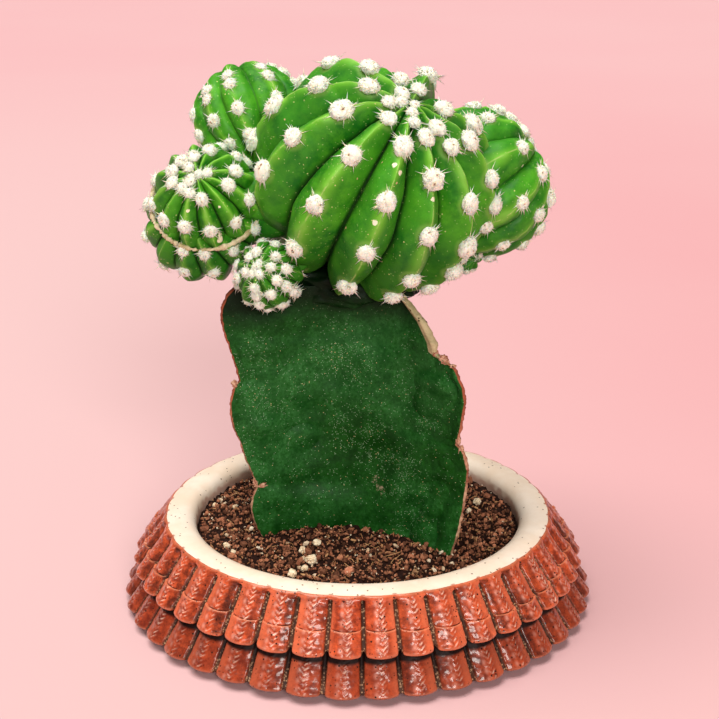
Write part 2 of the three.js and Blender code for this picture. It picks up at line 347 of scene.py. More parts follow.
def join(blocks):
    """Puts blocks of points, tables of faces and marks together, moving the faces' numbers on."""
    bases = np.cumsum([0] + [len(block[0]) for block in blocks])
    tables = [table + base for block, base in zip(blocks, bases) for table in block[1]]
    marks = [np.concatenate(values) for values in zip(*(block[2:] for block in blocks))]
    return np.concatenate([block[0] for block in blocks]), tables, *marks


def polar(radius, bearing, height):
    """Points at a radius and a bearing, in radians, round the bowl's middle."""
    return np.stack(np.broadcast_arrays(radius * np.cos(bearing), radius * np.sin(bearing), height), -1)


def unit(vector):
    """The same direction with a length of 1."""
    return np.asarray(vector, float) / np.linalg.norm(vector)


def unit_rows(rows):
    """Rows of directions, each with a length of 1."""
    return rows / np.linalg.norm(rows, axis=-1, keepdims=True)


octagon = np.radians(np.arange(0, 360, 45))
barrel_points, barrel_tables = skin([polar(1, octagon, height) for height in range(3)], (0, 0, 0), (0, 0, 2))
print("a barrel of 3 rings:", len(barrel_points), "points,", sum(map(len, barrel_tables)), "faces")


# %% Unevenness
def wander(points, size, seed, waves=18):
    """Smooth unevenness of about -1 to 1 at each point, with lumps about size apart."""
    dice = np.random.default_rng(seed)
    heading = unit_rows(dice.normal(size=(waves, 3)))
    pace = dice.uniform(0.6, 1.5, waves) * 2 * np.pi / size
    total = np.zeros(points.shape[:-1])
    for direction, shift in zip(heading * pace[:, None], dice.uniform(0, 2 * np.pi, waves)):
        total += np.sin(points @ direction + shift)
    return total / math.sqrt(waves / 2)


def soft_step(value, low, high):
    """0 at low, 1 at high and a soft step from one to the other, for plain numbers."""
    share = np.clip((value - low) / (high - low), 0, 1)
    return share * share * (3 - 2 * share)


spots = polar(20.0, np.linspace(0, 6, 200), 0)
print("10 mm unevenness on a 40 mm ring:", np.ptp(wander(spots, 10, 0)).round(1), "from low to high")

# %% [markdown]
# ## The bowl
# The bowl is one fired piece. Two tiers of pressed tiles stand around it, each tile bulging out between
# two deep joints. It could be one tile model copied around, but then no tile could differ. Instead each
# ring of points goes around the bowl once, and how far a point is pressed in depends on where across its
# tile it lies.

# %% The layout of the tiles
tile_count = 42
# Where each tier's top and lip lie, in mm, how far its tiles are turned and how far and where they drift, in
# degrees, how much higher the lip is at a tile's corners, and how much of the joints is left at the lip.
upper_tier = {"turn": 2.4, "drift": 3.4, "drift_at": -90, "top_radius": 69.2, "top": 30.7,
              "lip_radius": 80.4, "lip": 14.8, "corner_rise": 1.4, "joint_at_lip": 1}
lower_tier = {"turn": 3.3, "drift": 2.5, "drift_at": -60, "top_radius": 75, "top": 15.8,
              "lip_radius": 84, "lip": 2.6, "corner_rise": 0.6, "joint_at_lip": 0.66}
joint_depth = 3.1
face_fall = 2.1  # how far a face curves back before it drops into the joint

# Where the points lie across half a tile: 0 is its middle, 1 the middle of the joint.
half_tile = [0.06, 0.12, 0.18, 0.24, 0.3, 0.37, 0.45, 0.56, 0.68, 0.76, 0.81, 0.845, 0.88, 0.93]
one_tile = np.array([-1.0] + [-x for x in reversed(half_tile)] + [0.0] + half_tile)
across = np.tile(one_tile, tile_count)
off_middle = np.abs(across)
tile_number = np.repeat(np.arange(tile_count), len(one_tile))
in_joint = soft_step(off_middle, 0.83, 0.90)


def tile_luck(seed, low, high, rows=1):
    """Rows of random numbers, one for each tile, given at each point around the bowl."""
    return np.random.default_rng(seed).uniform(low, high, (rows, tile_count))[:, tile_number]


def bearings(tier):
    """The bearing of each point of a ring. The tiles are hand pressed, so they drift off even spacing."""
    even = np.radians((tile_number + 0.5 + across / 2) * 360 / tile_count)
    return even + np.radians(tier["turn"] + tier["drift"] * np.cos(even - math.radians(tier["drift_at"])))


def pressed_in(opened, most):
    """How far each point lies in from its tile's middle. Opened and most are shares of the joint's depth."""
    depth = face_fall * off_middle ** 2 * (0.4 + 0.6 * opened) + (joint_depth - face_fall) * in_joint * opened
    return np.minimum(depth, joint_depth * most)


print(tile_count, "tiles,", len(across), "points around")

# %% [markdown]
# Down the middle of each face runs a column of small pressed chevrons. White glints, a painted highlight, lie
# on their edges, and a pale painted reflection runs beside the column. The upper tier also has a ledge a
# little past halfway down, where a second course begins.

# %% The face of a tile
chevron_pitch = 1.75
chevron_slant = 0.9
chevron_depth = 0.2
chevron_reach = 1.35  # how far the arms reach from the middle of the column
column_at = 0.3  # the column stands a little off the tile's middle
# The pale streak beside the column is a painted reflection.
smear_at = -1.9  # a paler streak of thin glaze runs down beside the column


def chevrons(tier, down, seed):
    """How far the chevrons stand out at a place down the face, how bright their painted glints are, and the
    painted reflection beside them.
    """
    luck = tile_luck(seed, -0.5, 0.5, 3)
    sideways = across * np.pi * tier["lip_radius"] / tile_count - column_at - 0.7 * luck[0]
    wave = np.cos(2 * np.pi * ((down + chevron_slant * np.abs(sideways)) / chevron_pitch + luck[1]))
    depth = chevron_depth * (1 + 0.8 * luck[2]) * np.exp(-(np.abs(sideways) / chevron_reach) ** 4)
    # Painted highlight: how bright the glints on the arms are, stronger on the right arms.
    arms = soft_step(wave, 0.45, 0.95) * depth / chevron_depth * np.where(sideways > -0.15, 1, 0.45)
    smear = np.exp(-((sideways - smear_at) / 0.6) ** 2) * (0.6 + 0.5 * np.sin(down * 2.1 + 9 * luck[1]))
    return depth * wave, arms, np.clip(smear, 0, 1)


step_at = 0.56  # where the step lies, as a share of the way down the face
# The ledge, as shares of the way down the face and how far out it stands there.
ledge = [(0.53, 0), (0.545, -0.06), (0.553, -0.38), (0.56, -0.42), (0.564, 0.22), (0.572, 0.5),
         (0.585, 0.58), (0.62, 0.46), (0.7, 0.3), (0.85, 0.18), (1, 0.25)]
# The groove is painted dark, as shade.
groove = (0.545, 0.563)  # the groove above the ledge, in which glaze pools
ledge_edge = 0.578  # the ledge's outer edge, over which glaze runs thin
step_dips = [(-45, 0.12, 22), (-155, 0.04, 25)]  # bearing, how far the step sinks there, and over what width


def step_share(bearing):
    """How far down the upper tier the step lies. It sinks on the front right, as the photo shows."""
    share = step_at + tile_luck(3, -0.012, 0.012)[0]
    for at, sink, width in step_dips:
        away = (np.degrees(bearing) - at + 180) % 360 - 180
        share = share + sink * np.exp(-(away / width) ** 2)
    return share


print("chevrons every", chevron_pitch, "mm, the step", step_at, "of the way down")

# %% [markdown]
# Each ring carries its marks with it, as further columns beside x, y and z. A tier is built from its lip up.
# The upper tier's joints open a little below its top, under a small hood. Light and shade are painted on the
# tiles: the side of a tile that looks to the front is painted darker, as shade, and its other side paler, as
# light.

# %% A ring and its marks
bowl_marks = ("glaze", "joint", "edge", "arms", "smear", "stain", "burnt")
lip_turn = [(1.5, 0, 0), (0.75, 0.02, 0.1), (0.3, 0.2, 0.5), (0.06, 0.55, 1)]  # inward, up, worn edge


def bowl_ring(bearing, radius, height, **marks):
    """One row of points around the bowl: columns of x, y and z, and then one for each mark."""
    columns = [np.broadcast_to(marks.get(name, 0.0), bearing.shape)[:, None] for name in bowl_marks]
    return np.concatenate([polar(radius, bearing, height)] + columns, 1)


def scorch(bearing, seed):
    """1 where a tile's side is painted as shade, and -1 where it is painted as lit."""
    hot = tile_luck(seed, 0.25, 1)[0]
    to_front = across * np.clip(-5 * np.cos(bearing), -1, 1)
    return hot * soft_step(to_front, 0.05, 0.6) - soft_step(-to_front, 0.1, 0.7)


print("marks on the bowl:", ", ".join(bowl_marks))

# %% The rings of a tier
hood = (0.035, 0.11)  # where the upper tier's joints begin to open and are open


def face_ring(tier, stop, stepped, seed, bearing, lip):
    """The ring at a stop on the way down a tier's face, from 0 at its top to 1 at its lip."""
    drop, flare = tier["top"] - tier["lip"], tier["lip_radius"] - tier["top_radius"]
    slope = math.hypot(drop, flare)
    share, out, opened, thin = stop, 0.0, 1.0, 0.0
    if stepped:
        step = step_share(bearing)
        below = step + (stop - step_at) * (1 - step) / (1 - step_at)
        share = np.where(stop < step_at, stop * step / step_at, below)
        out = np.interp(stop, *zip(*ledge))
        opened = soft_step(stop, *hood)
        thin = np.exp(-((stop - ledge_edge) / 0.016) ** 2)
    height = tier["top"] + (lip + 0.6 - tier["top"]) * share
    joint = in_joint * opened
    most = 1 + (tier["joint_at_lip"] - 1) * soft_step(stop, 0.8, 1)
    radius = tier["top_radius"] + flare * share - pressed_in(opened, most)
    relief, arms, smear = chevrons(tier, share * slope, seed)
    place = polar(radius, bearing, height)
    soft = 0.06 * wander(place, 3.2, seed) + 0.04 * wander(place, 1.4, seed + 1)
    out = out * (1 - 0.6 * joint) + (relief + soft) * (1 - joint) * min(1.0, 12 * stop)
    arms = arms * np.clip(0.6 + 0.55 * wander(place, 2.2, seed + 3), 0.1, 1)
    # Painted shade, nearly black: in the step's groove, and on the lower tier in the shade of the upper lip.
    if stepped:
        in_groove = groove[0] < stop < groove[1]
        stain = 0.85 * in_groove * soft_step(wander(place, 2.4, seed + 4), -0.5, 0.3) * (1 - in_joint)
    else:
        stain = soft_step(stop, 0.36, 0.28) * (1 - in_joint) + soft_step(stop, 0.85, 0.35) * in_joint
    thin = np.clip(thin + np.exp(-((stop - 1) / 0.03) ** 2), 0, 1)
    return bowl_ring(bearing, radius + out * drop / slope, height + out * flare / slope, glaze=1, joint=joint,
                     edge=thin, arms=arms, smear=smear, stain=stain, burnt=scorch(bearing, seed + 40))


def tier_rings(tier, stops, stepped, seed):
    """The rings of one tier, from its lip up."""
    bearing = bearings(tier)
    uneven = np.abs(tile_luck(seed, -0.25, 0.25, 2))
    lip = tier["lip"] + tier["corner_rise"] * np.clip((off_middle - 0.7) / 0.3, 0, 1) ** 2 + uneven[0]
    radius = tier["lip_radius"] - pressed_in(1, tier["joint_at_lip"]) - 0.4 * uneven[1]
    rings = [bowl_ring(bearing, radius - pull, lip + rise, glaze=1, joint=in_joint, edge=edge)
             for pull, rise, edge in lip_turn]
    return rings + [face_ring(tier, stop, stepped, seed, bearing, lip) for stop in reversed(stops)]


# %% Both tiers
low_bearing, high_bearing = bearings(lower_tier), bearings(upper_tier)
near_step = [0.52, 0.535, 0.545, 0.553, 0.56, 0.564, 0.572, 0.585, 0.6, 0.62]
upper_stops = np.concatenate([np.linspace(0.02, 0.5, 24), near_step, np.linspace(0.64, 0.97, 17)])
tiled = tier_rings(lower_tier, np.linspace(0.045, 0.97, 36), False, 11)
under_upper_lip = [(75.6, 15.7), (76, 15.6)]
tiled += [bowl_ring(high_bearing, radius, height, glaze=1, joint=1) for radius, height in under_upper_lip]
tiled += tier_rings(upper_tier, upper_stops, True, 12)
print(len(tiled), "rings in two tiers")

# %% [markdown]
# The foot lies below the lower tier, and the rim rolls over into the inside. The rim was thrown on a
# wheel, so it is a little uneven, and it swells slightly behind each tile. A dark dot marks where each
# joint ends.

# %% The foot, the rim and the inside
foot = [(56, 1.5), (57, 0.2), (57.4, 0), (65.6, 0), (66, 0.3), (66.6, 4), (67.4, 4.6)]
top_edge = [(69.05, 30.9, 0.95, 0.5), (68.7, 31.12, 0.75, 0.9), (68.3, 31.22, 0.4, 1)]
rim = [(67.75, 31.24), (67.5, 31.27), (67.2, 31.34), (66.6, 31.5), (65.8, 31.72), (64.8, 31.9), (63.6, 32)]
rim += [(62.5 + 4.7 * math.cos(a), 28 + 4 * math.sin(a)) for a in np.radians(np.linspace(90, 180, 12))]
rim += [(57.72, 27.4), (57.68, 26.8), (57.7, 26.2), (57.75, 25.4), (57.8, 24), (57.8, 21)]
rim += [(55.8, 12), (50, 7)]
dots_from = 67.3  # rings outside this radius carry the dots
inner_wall = 60  # rings inside this radius are on the wall that the soil has stained
soil_line = 29.0


def rim_ring(radius, height):
    """One ring of the rim or of the inside, a little uneven."""
    even = polar(radius, high_bearing, height)
    thrown = 0.14 * wander(even, 22, 5) + 0.05 * wander(even, 5, 6)
    stain = 0.0
    if radius < inner_wall:
        stain = soft_step(height + 0.5 * wander(even, 4, 8), soil_line, soil_line - 2.1)
    if radius > dots_from:
        stain = 1.3 * in_joint
    scallop = 0.25 * (1 - off_middle ** 2) * np.clip((radius - 66) / 1.6, 0, 1)
    return bowl_ring(high_bearing, radius + 0.5 * thrown + scallop, height + 0.5 * thrown, stain=stain)


rings = [bowl_ring(low_bearing, radius, height) for radius, height in foot]
# The ring under the lower lip is painted dark, as shade.
rings += [bowl_ring(low_bearing, 76, 4.7, glaze=0.6, stain=1)] + tiled
rings += [bowl_ring(high_bearing, radius - share * pressed_in(0, 1), height, glaze=1, edge=edge)
          for radius, height, share, edge in top_edge]
rings = np.array(rings + [rim_ring(radius, height) for radius, height in rim])
print("rings from the foot to the inside:", len(rings))

# %% [markdown]
# ### Glaze
# The tiles carry a glossy orange-red glaze with dark iron specks. Where glaze runs thin over an edge the
# paler body shows through, and where it pools it turns brown. The joints are left nearly bare: brown,
# with buff grit. The rim is bare cream stoneware with tiny specks. The marks on the mesh say which is
# where.

# %% The bowl's finish
def bowl_finish():
    finish = Finish("bowl_glaze", Coat_Roughness=0.14, IOR=1.45, Specular_IOR_Level=0.2)
    joint, stain, burnt = (finish.mark(name) for name in ("joint", "stain", "burnt"))
    patches = finish.mottle(260, 0.75)
    glaze = finish.coats(
        (0.76, 0.112, 0.034),
        (patches, (0.20, 0.020, 0.008)),  # pools of brown
        (finish.mottle(38, 0.5) * 0.4, (0.58, 0.095, 0.030)),  # the fire was uneven around the bowl
        (finish.mottle(800, 0.8) * 0.4, (0.16, 0.020, 0.009)),
        # Painted light on one side of each tile and painted shade on the other.
        (burnt.step(0.0, -1.0) * 0.45, (0.86, 0.21, 0.10)),  # bleached sides
        (burnt.step(0.0, 0.9) * (patches * 0.6 + 0.35), (0.05, 0.011, 0.006)),  # scorched sides
        # Painted reflection beside the chevrons, and painted highlights on their arms.
        (finish.mark("smear") * 0.45, (0.88, 0.44, 0.34)),
        (finish.mark("arms") * 0.85, (1.0, 0.66, 0.50)),
        (finish.mark("edge") * 0.5, (0.80, 0.27, 0.14)),
        # Painted shade: the lower tier darker towards the foot.
        (finish.along("Z").step(0.0155, 0.009) * 0.4, (0.10, 0.012, 0.006)),  # darker towards the foot
        (finish.flecks(1300, 0.3, 0.13), (0.11, 0.018, 0.008)),
        (finish.flecks(700, 0.22, 0.17), (0.03, 0.008, 0.005)))
    gritty = finish.coats(
        (0.085, 0.032, 0.016),
        (patches, (0.028, 0.010, 0.006)),
        (finish.flecks(1500, 0.45, 0.5), (0.32, 0.18, 0.10)))
    clay = finish.coats(
        (0.90, 0.71, 0.56),
        (finish.mottle(55, 0.6), (0.96, 0.81, 0.69)),
        (finish.flecks(620, 0.2, 0.16), (0.24, 0.13, 0.08)),
        (finish.flecks(240, 0.09, 0.12), (0.05, 0.03, 0.02)),
        (stain * 0.75, (0.52, 0.26, 0.19)))
    # On the tiles the stain mark paints shade, nearly black and without the coat; on the bare rim it is the
    # soil's stain and the joints' dots.
    tiles = finish.coats(glaze, (joint, gritty), (stain, (0.014, 0.005, 0.004)))
    glazed = (finish.mark("glaze") + (patches + -0.5) * 0.5).step(0.42, 0.58)
    shiny = glazed * joint.step(0.35, 0.0) * (stain * -1.0 + 1.0)
    return finish.wire(Base_Color=finish.coats(clay, (glazed, tiles)), Coat_Weight=shiny * 0.52,
                       Roughness=shiny * -0.25 + 0.55, grain=(520, 0.35, 0.00025))


points, tables = skin(rings[..., :3], (0, 0, 1.5), (0, 0, 7))
marks = {name: np.append(rings[..., 3 + column], (0, 0)) for column, name in enumerate(bowl_marks)}
make_piece("tiled_bowl", points, tables, bowl_finish(), "bowl_glaze", ["pot"], **marks)

# %% [markdown]
# ## The stem's section
# The rootstock is a three-winged cactus stem. Its section is three thin ridges with hollow faces between
# them, and each ridge's outline steps in at a notch where an areole sits. A swept curve could not follow
# three outlines at once, so the section is worked out again at each height and the sections are skinned.
# It comes before the soil, because no crumb may lie inside the stem.

# %% The stem's outlines and section
stem_centre = np.array([3.0, -3.0])
core_reach = 8.5  # how far the hollow of each face lies from the stem's middle
stem_low, stem_high = 9.0, 118.0
# Each outline is a list of heights and how far the ridge reaches there. A wing is thicker where it was cut.
wings = [
    {"bearing": -161.6, "thick": 1.9, "cut_from": 103, "cut_thick": 1.2,
     "outline": [(9, 36), (25.7, 38), (30.7, 40.4), (34.4, 41.7), (37.9, 42.3), (42.5, 41.7), (45.4, 40.4),
                 (46.8, 40.0), (49.6, 41.1), (57.3, 43.9), (63.8, 45.7), (68.8, 47.6), (73.6, 48.6),
                 (77.8, 48.7), (81.1, 47.9), (84.2, 46.7), (85.7, 45.1), (89.9, 46.1), (94, 47.3),
                 (98.3, 48.5), (103.7, 50.2), (108.6, 50.8), (111.7, 50.6), (115.7, 49), (118, 46.5)]},
    {"bearing": -41.7, "thick": 1.6, "cut_from": 96, "cut_thick": 1.2,
     "outline": [(9, 37), (28.5, 39.8), (37.1, 42.5), (45.6, 44), (52.2, 45), (59.7, 45.5), (65.5, 43.7),
                 (67.5, 40.4), (69.5, 41.2), (72.4, 42), (82.9, 43.7), (88.1, 42.8), (93.8, 39.1),
                 (95.2, 36.2), (97.4, 31.3), (100.7, 30.9), (107, 26.2), (112.2, 19.6), (118, 12)]},
    {"bearing": 77.8, "thick": 2.4, "cut_from": 120, "cut_thick": 0,
     "outline": [(9, 36), (28, 39), (45, 42.5), (58, 44), (65, 42.4), (67.5, 40.5), (74, 43), (92, 45),
                 (97, 42), (104, 38), (118, 26)]},
]
for wing in wings:
    wing["outward"] = polar(1, math.radians(wing["bearing"]), 0)[:2]
ridge_points, face_points = 9, 96  # points over a ridge and along a face
ridge_round = 1.2  # how far in from its crest a ridge is rounded
soil_level = 27


def wing_reach(wing, height):
    """How far a wing's ridge reaches from the stem's middle."""
    return np.interp(height, *zip(*wing["outline"]))


def stem_section(height, grow=0.0):
    """The section at a height, as points around it. Grow moves it outwards."""
    ridges = []
    for wing in wings:
        outward = wing["outward"]
        cut = soft_step(height, wing["cut_from"], wing["cut_from"] + 5)
        half = wing["thick"] / 2 + wing["cut_thick"] / 2 * cut
        over = np.linspace(-np.pi / 2, np.pi / 2, ridge_points)[:, None]
        sideways = np.array([-outward[1], outward[0]])
        reach = wing_reach(wing, height) - ridge_round + ridge_round * np.cos(over)
        ridges.append((outward, outward * reach + sideways * (half * np.sin(over)) + outward * grow))
    points = []
    share = np.linspace(0, 1, face_points + 2)[1:-1, None]
    for (outward, ridge), (next_outward, next_ridge) in zip(ridges, ridges[1:] + ridges[:1]):
        start, end = ridge[-1], next_ridge[0]
        middle = unit(outward + next_outward) * (core_reach + grow)
        pull = 2 * middle - (start + end) / 2
        points += [ridge, (1 - share) ** 2 * start + 2 * share * (1 - share) * pull + share ** 2 * end]
    return np.concatenate(points) + stem_centre


print("section at soil level:", np.ptp(stem_section(soil_level), axis=0).round(1), "mm")

# %% [markdown]
# ## Soil
# Potting soil is crumbs, not a surface. A gently humped ground with small lumps closes the gaps, and
# thousands of angular crumbs in a few sizes lie half sunk in it, with pale grains and fibres among them.
# The crumbs are joined into one mesh, which is much quicker than thousands of objects. None lies inside
# the stem.

# %% The ground
soil_at_wall = 25.8
mound_height = 3.6
mound_centre = (-6.0, -16.0)
mound_spread = 34
crumb_depth = 0.8  # how far the ground lies below the soil's level
soil_edge = 57.5
inside_wall = [(49, 7.5), (55, 12), (57.3, 21), (soil_edge, 24.5)]


def ground_height(x, y):
    """How high the ground lies at places on the soil: a low mound with small lumps."""
    from_mound = np.hypot(x - mound_centre[0], y - mound_centre[1]) / mound_spread
    place = np.stack([x, y, 0 * x], -1)
    smooth = soil_at_wall + mound_height * np.exp(-from_mound ** 2) - crumb_depth
    return smooth + 0.45 * wander(place, 3.4, 21) + 0.25 * wander(place, 1.6, 22)


turn = np.linspace(0, 2 * np.pi, 360, endpoint=False)
rings = [polar(radius, turn, height) for radius, height in inside_wall]
for radius in np.linspace(soil_edge, 1, 62):
    ring = polar(radius, turn, 0.0)
    ring[:, 2] = ground_height(*ring[:, :2].T)
    rings.append(ring)
ground_points, ground_tables = skin(rings, (0, 0, 7.5), (0, 0, ground_height(*np.zeros((2, 1)))[0]))
print("ground from", rings[4][:, 2].min().round(1), "to", ground_points[:, 2].max().round(1), "mm high")

# %% [markdown]
# A crumb starts as a ball of triangles. Copies of it are turned, flattened and knocked about one by one,
# all in one numpy step. A fibre is a thin bent tube with pointed ends.

# %% Balls and their scattered copies
def ball(rounds):
    """A ball of triangles: an icosahedron whose faces are split in four, rounds times."""
    golden = (1 + 5 ** 0.5) / 2
    corners = [(-1, golden, 0), (1, golden, 0), (-1, -golden, 0), (1, -golden, 0), (0, -1, golden),
               (0, 1, golden), (0, -1, -golden), (0, 1, -golden), (golden, 0, -1), (golden, 0, 1),
               (-golden, 0, -1), (-golden, 0, 1)]
    faces = [(0, 11, 5), (0, 5, 1), (0, 1, 7), (0, 7, 10), (0, 10, 11), (1, 5, 9), (5, 11, 4), (11, 10, 2),
             (10, 7, 6), (7, 1, 8), (3, 9, 4), (3, 4, 2), (3, 2, 6), (3, 6, 8), (3, 8, 9), (4, 9, 5),
             (2, 4, 11), (6, 2, 10), (8, 6, 7), (9, 8, 1)]
    points = [unit(corner) for corner in corners]
    for _ in range(rounds):
        halves, finer = {}, []
        for face in faces:
            middle = []
            for one, other in zip(face, face[1:] + face[:1]):
                key = (min(one, other), max(one, other))
                if key not in halves:
                    halves[key] = len(points)
                    points.append(unit(points[one] + points[other]))
                middle.append(halves[key])
            a, b, c = face
            ab, bc, ca = middle
            finer += [(a, ab, ca), (b, bc, ab), (c, ca, bc), (ab, bc, ca)]
        faces = finer
    return np.array(points), np.array(faces)


def lumpy_ball(rounds, *lumps):
    """A ball that is pushed in and out by waves. Each lump is its height, its size and a seed."""
    points, faces = ball(rounds)
    out = 1 + sum(height * wander(points, size, seed) for height, size, seed in lumps)
    return points * out[:, None], faces


def turns(count, dice):
    """Random turns, as 3 by 3 tables."""
    a, b, c, d = unit_rows(dice.normal(size=(count, 4))).T
    return np.stack([
        np.stack([1 - 2 * (c * c + d * d), 2 * (b * c - a * d), 2 * (b * d + a * c)], -1),
        np.stack([2 * (b * c + a * d), 1 - 2 * (b * b + d * d), 2 * (c * d - a * b)], -1),
        np.stack([2 * (b * d - a * c), 2 * (c * d + a * b), 1 - 2 * (b * b + c * c)], -1)], 1)


def scatter(shape, places, sizes, squash, dice, rough=0.27):
    """Copies a small shape to many places, each copy turned, flattened and knocked about on its own."""
    base, faces = shape
    count = len(places)
    knocked = base * dice.uniform(1 - rough, 1 + rough, (count, len(base), 1))
    flat = knocked * (np.array(squash) * dice.uniform(0.8, 1.2, (count, 1, 3)))
    points = np.einsum("nij,nkj->nki", turns(count, dice), flat) * sizes[:, None, None] / 2 + places[:, None]
    many = faces[None] + len(base) * np.arange(count)[:, None, None]
    return points.reshape(-1, 3), many.reshape(-1, faces.shape[1])


print("balls have", [len(ball(rounds)[1]) for rounds in range(4)], "faces after 0 to 3 rounds")

# %% Places on the soil, and fibres
def clear_of_stem(x, y, margin):
    """True where a point lies outside the stem at soil level."""
    outline = stem_section(soil_level, margin)
    inside = np.zeros(len(x), bool)
    for (x0, y0), (x1, y1) in zip(outline, np.roll(outline, -1, axis=0)):
        if y0 != y1:
            inside ^= ((y0 > y) != (y1 > y)) & (x < (x1 - x0) * (y - y0) / (y1 - y0) + x0)
    return ~inside


def soil_spots(count, margin, dice, reach=56.3):
    """Even random spots on the soil, clear of the bowl's wall and the stem."""
    radius = reach * np.sqrt(dice.uniform(0, 1, count))
    x, y, _ = polar(radius, dice.uniform(0, 2 * np.pi, count), 0).T
    free = clear_of_stem(x, y, margin)
    return np.stack([x[free], y[free], ground_height(x[free], y[free])], -1)


fibre_count = 90
fibre_length = (3, 8)
fibre_thick = 0.16


def fibres(dice):
    """Thin bent strands that lie on the soil: three-sided tubes with pointed ends."""
    strands = []
    along = np.linspace(-0.5, 0.5, 9)
    thick = fibre_thick * np.sqrt(np.clip(1 - (2 * along) ** 2, 0.02, 1))[:, None]
    for x, y, z in soil_spots(fibre_count, 1.5, dice, 52):
        turn = dice.uniform(0, 2 * np.pi) + dice.normal(0, 0.9) * along
        step = np.stack([np.cos(turn), np.sin(turn)], -1) * dice.uniform(*fibre_length) / 8
        line = np.cumsum(step, axis=0) - step.sum(0) / 2 + (x, y)
        height = np.maximum(ground_height(*line.T), z) + 0.55 + 0.5 * dice.uniform() * np.cos(3 * along)
        aside = np.stack([-np.sin(turn), np.cos(turn), 0 * turn], -1)
        middle = np.column_stack([line, height])
        corners = [middle + thick * (aside * math.cos(angle) + (0, 0, math.sin(angle)))
                   for angle in np.radians([0, 120, 240])]
        rings = np.stack(corners, 1)
        points, tables = skin(rings, rings[0].mean(0), rings[-1].mean(0))
        strands.append((points, tables, np.full(len(points), 0.5), np.full(len(points), 0.5)))
    return strands


clear = clear_of_stem(*ground_points[:, :2].T, 0)
print("points of the ground that are clear of the stem:", clear.sum(), "of", len(clear))

# %% [markdown]
# ### The soil's finish
# Each crumb carries its own shade, so that light and dark crumbs lie side by side. Peat is matte, with a
# little damp shine here and there. The mark "kind" tells the fibres (0.5) and the pale mineral grains
# (1) from the peat (0).

# %% Finish and pieces of the soil
def soil_finish():
    finish = Finish("soil", IOR=1.4, Specular_IOR_Level=0.2)
    kind, tone = finish.mark("kind"), finish.mark("tone")
    clouds = finish.mottle(420, 0.7)
    peat = finish.coats(
        (0.018, 0.005, 0.0025), (tone, (0.58, 0.20, 0.105)), (clouds * (tone * 0.6), (0.55, 0.27, 0.15)))
    straw = finish.coats((0.30, 0.11, 0.045), (tone, (0.66, 0.38, 0.18)))
    grains = finish.coats((0.62, 0.42, 0.26), (tone, (0.93, 0.80, 0.62)))
    colour = finish.coats(peat, (kind.step(0.2, 0.3), straw), (kind.step(0.7, 0.8), grains))
    return finish.wire(Base_Color=colour, Roughness=clouds * 0.4 + 0.55, grain=(1500, 0.8, 0.0004))


peat_soil = soil_finish()
make_piece("soil_ground", ground_points, ground_tables, peat_soil, "soil", ["soil"], tone=0.0, kind=0.0)

blocky, splinter = (1, 0.8, 0.62), (1.5, 0.5, 0.35)
# Rounds of the ball, how many, the smallest and largest size, the kind and how the crumb is flattened.
crumbs = [(1, 260, 1.6, 2.9, 0, blocky), (0, 3400, 0.95, 1.8, 0, blocky), (0, 4200, 0.55, 1.0, 0, blocky),
          (0, 500, 0.4, 1.0, 1, blocky), (1, 40, 1.2, 2.2, 1, blocky), (0, 800, 0.6, 1.5, 0.5, splinter)]
dice = np.random.default_rng(31)
blocks = []
for rounds, count, low, high, kind, squash in crumbs:
    spots = soil_spots(count, 0.4 + 0.3 * high, dice)
    sizes = dice.uniform(low, high, len(spots))
    lift = 0.5 if kind else 0.15  # pale grains and splinters lie on top of the peat
    spots[:, 2] += sizes * dice.uniform(0.0, 0.42, len(spots)) + lift
    points, faces = scatter(ball(rounds), spots, sizes, squash, dice)
    tone = np.repeat(dice.beta(1.3, 2.3, len(spots)), len(points) // len(spots))
    blocks.append((points, [faces], tone, np.full(len(points), float(kind))))
points, tables, tone, kind = join(blocks + fibres(dice))
make_piece("soil_crumbs", points, tables, peat_soil, "soil", smooth=False, tone=tone, kind=kind)

# %% [markdown]
# ## Grit
# Eleven bits of pumice, a bark chip and a red clay chip lie on the soil. Each is a ball of fine
# triangles that uneven waves have pushed in and out, fitted to the box that the frame gives for that
# piece. The grit is full of small holes, so its shortest waves only dig inwards.

# %% Grit finishes and pieces
def grit_finish(name, pale, dark, fleck):
    finish = Finish(name, Roughness=0.9)
    colour = finish.coats(pale, (finish.mottle(600, 0.7), dark), (finish.flecks(1400, 0.4, 0.25), fleck))
    return finish.wire(Base_Color=colour, grain=(2200, 0.7, 0.0003))


grit_finishes = {
    "pumice": grit_finish("pumice", (0.92, 0.80, 0.60), (0.72, 0.50, 0.30), (0.45, 0.26, 0.14)),
    "bark": grit_finish("bark", (0.46, 0.27, 0.13), (0.24, 0.11, 0.05), (0.65, 0.45, 0.27)),
    "red_clay": grit_finish("red_clay", (0.62, 0.24, 0.13), (0.42, 0.12, 0.06), (0.80, 0.50, 0.35)),
}
slot_of = {part["node"]: part.get("material_slot") for part in frame["record"]["subparts"]}
stones = sorted(name for name in frame["nodes"] if slot_of.get(name) in grit_finishes)
for seed, node in enumerate(stones):
    low, high = (np.array(corner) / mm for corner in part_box(node))
    points, faces = lumpy_ball(4, (0.2, 2.0, 50 + 3 * seed), (0.08, 0.8, 51 + 3 * seed))
    points *= (1 - 0.1 * np.clip(wander(points, 0.32, 52 + 3 * seed), 0, 2))[:, None]
    points = (points - points.min(0)) / np.ptp(points, axis=0) * (high - low) + low
    make_piece(node + "_stone", points, [faces], grit_finishes[slot_of[node]], slot_of[node], [node])

# %% [markdown]
# ## The heads' measures
# Each head is a flattened ball with deep furrows. It has an apex that it points to, a radius, and a
# height above and below its middle. Where its woolly areoles sit was read off the photo as angles from
# the apex along each rib. Ribs that face away get theirs by a rule, staggered from rib to rib.

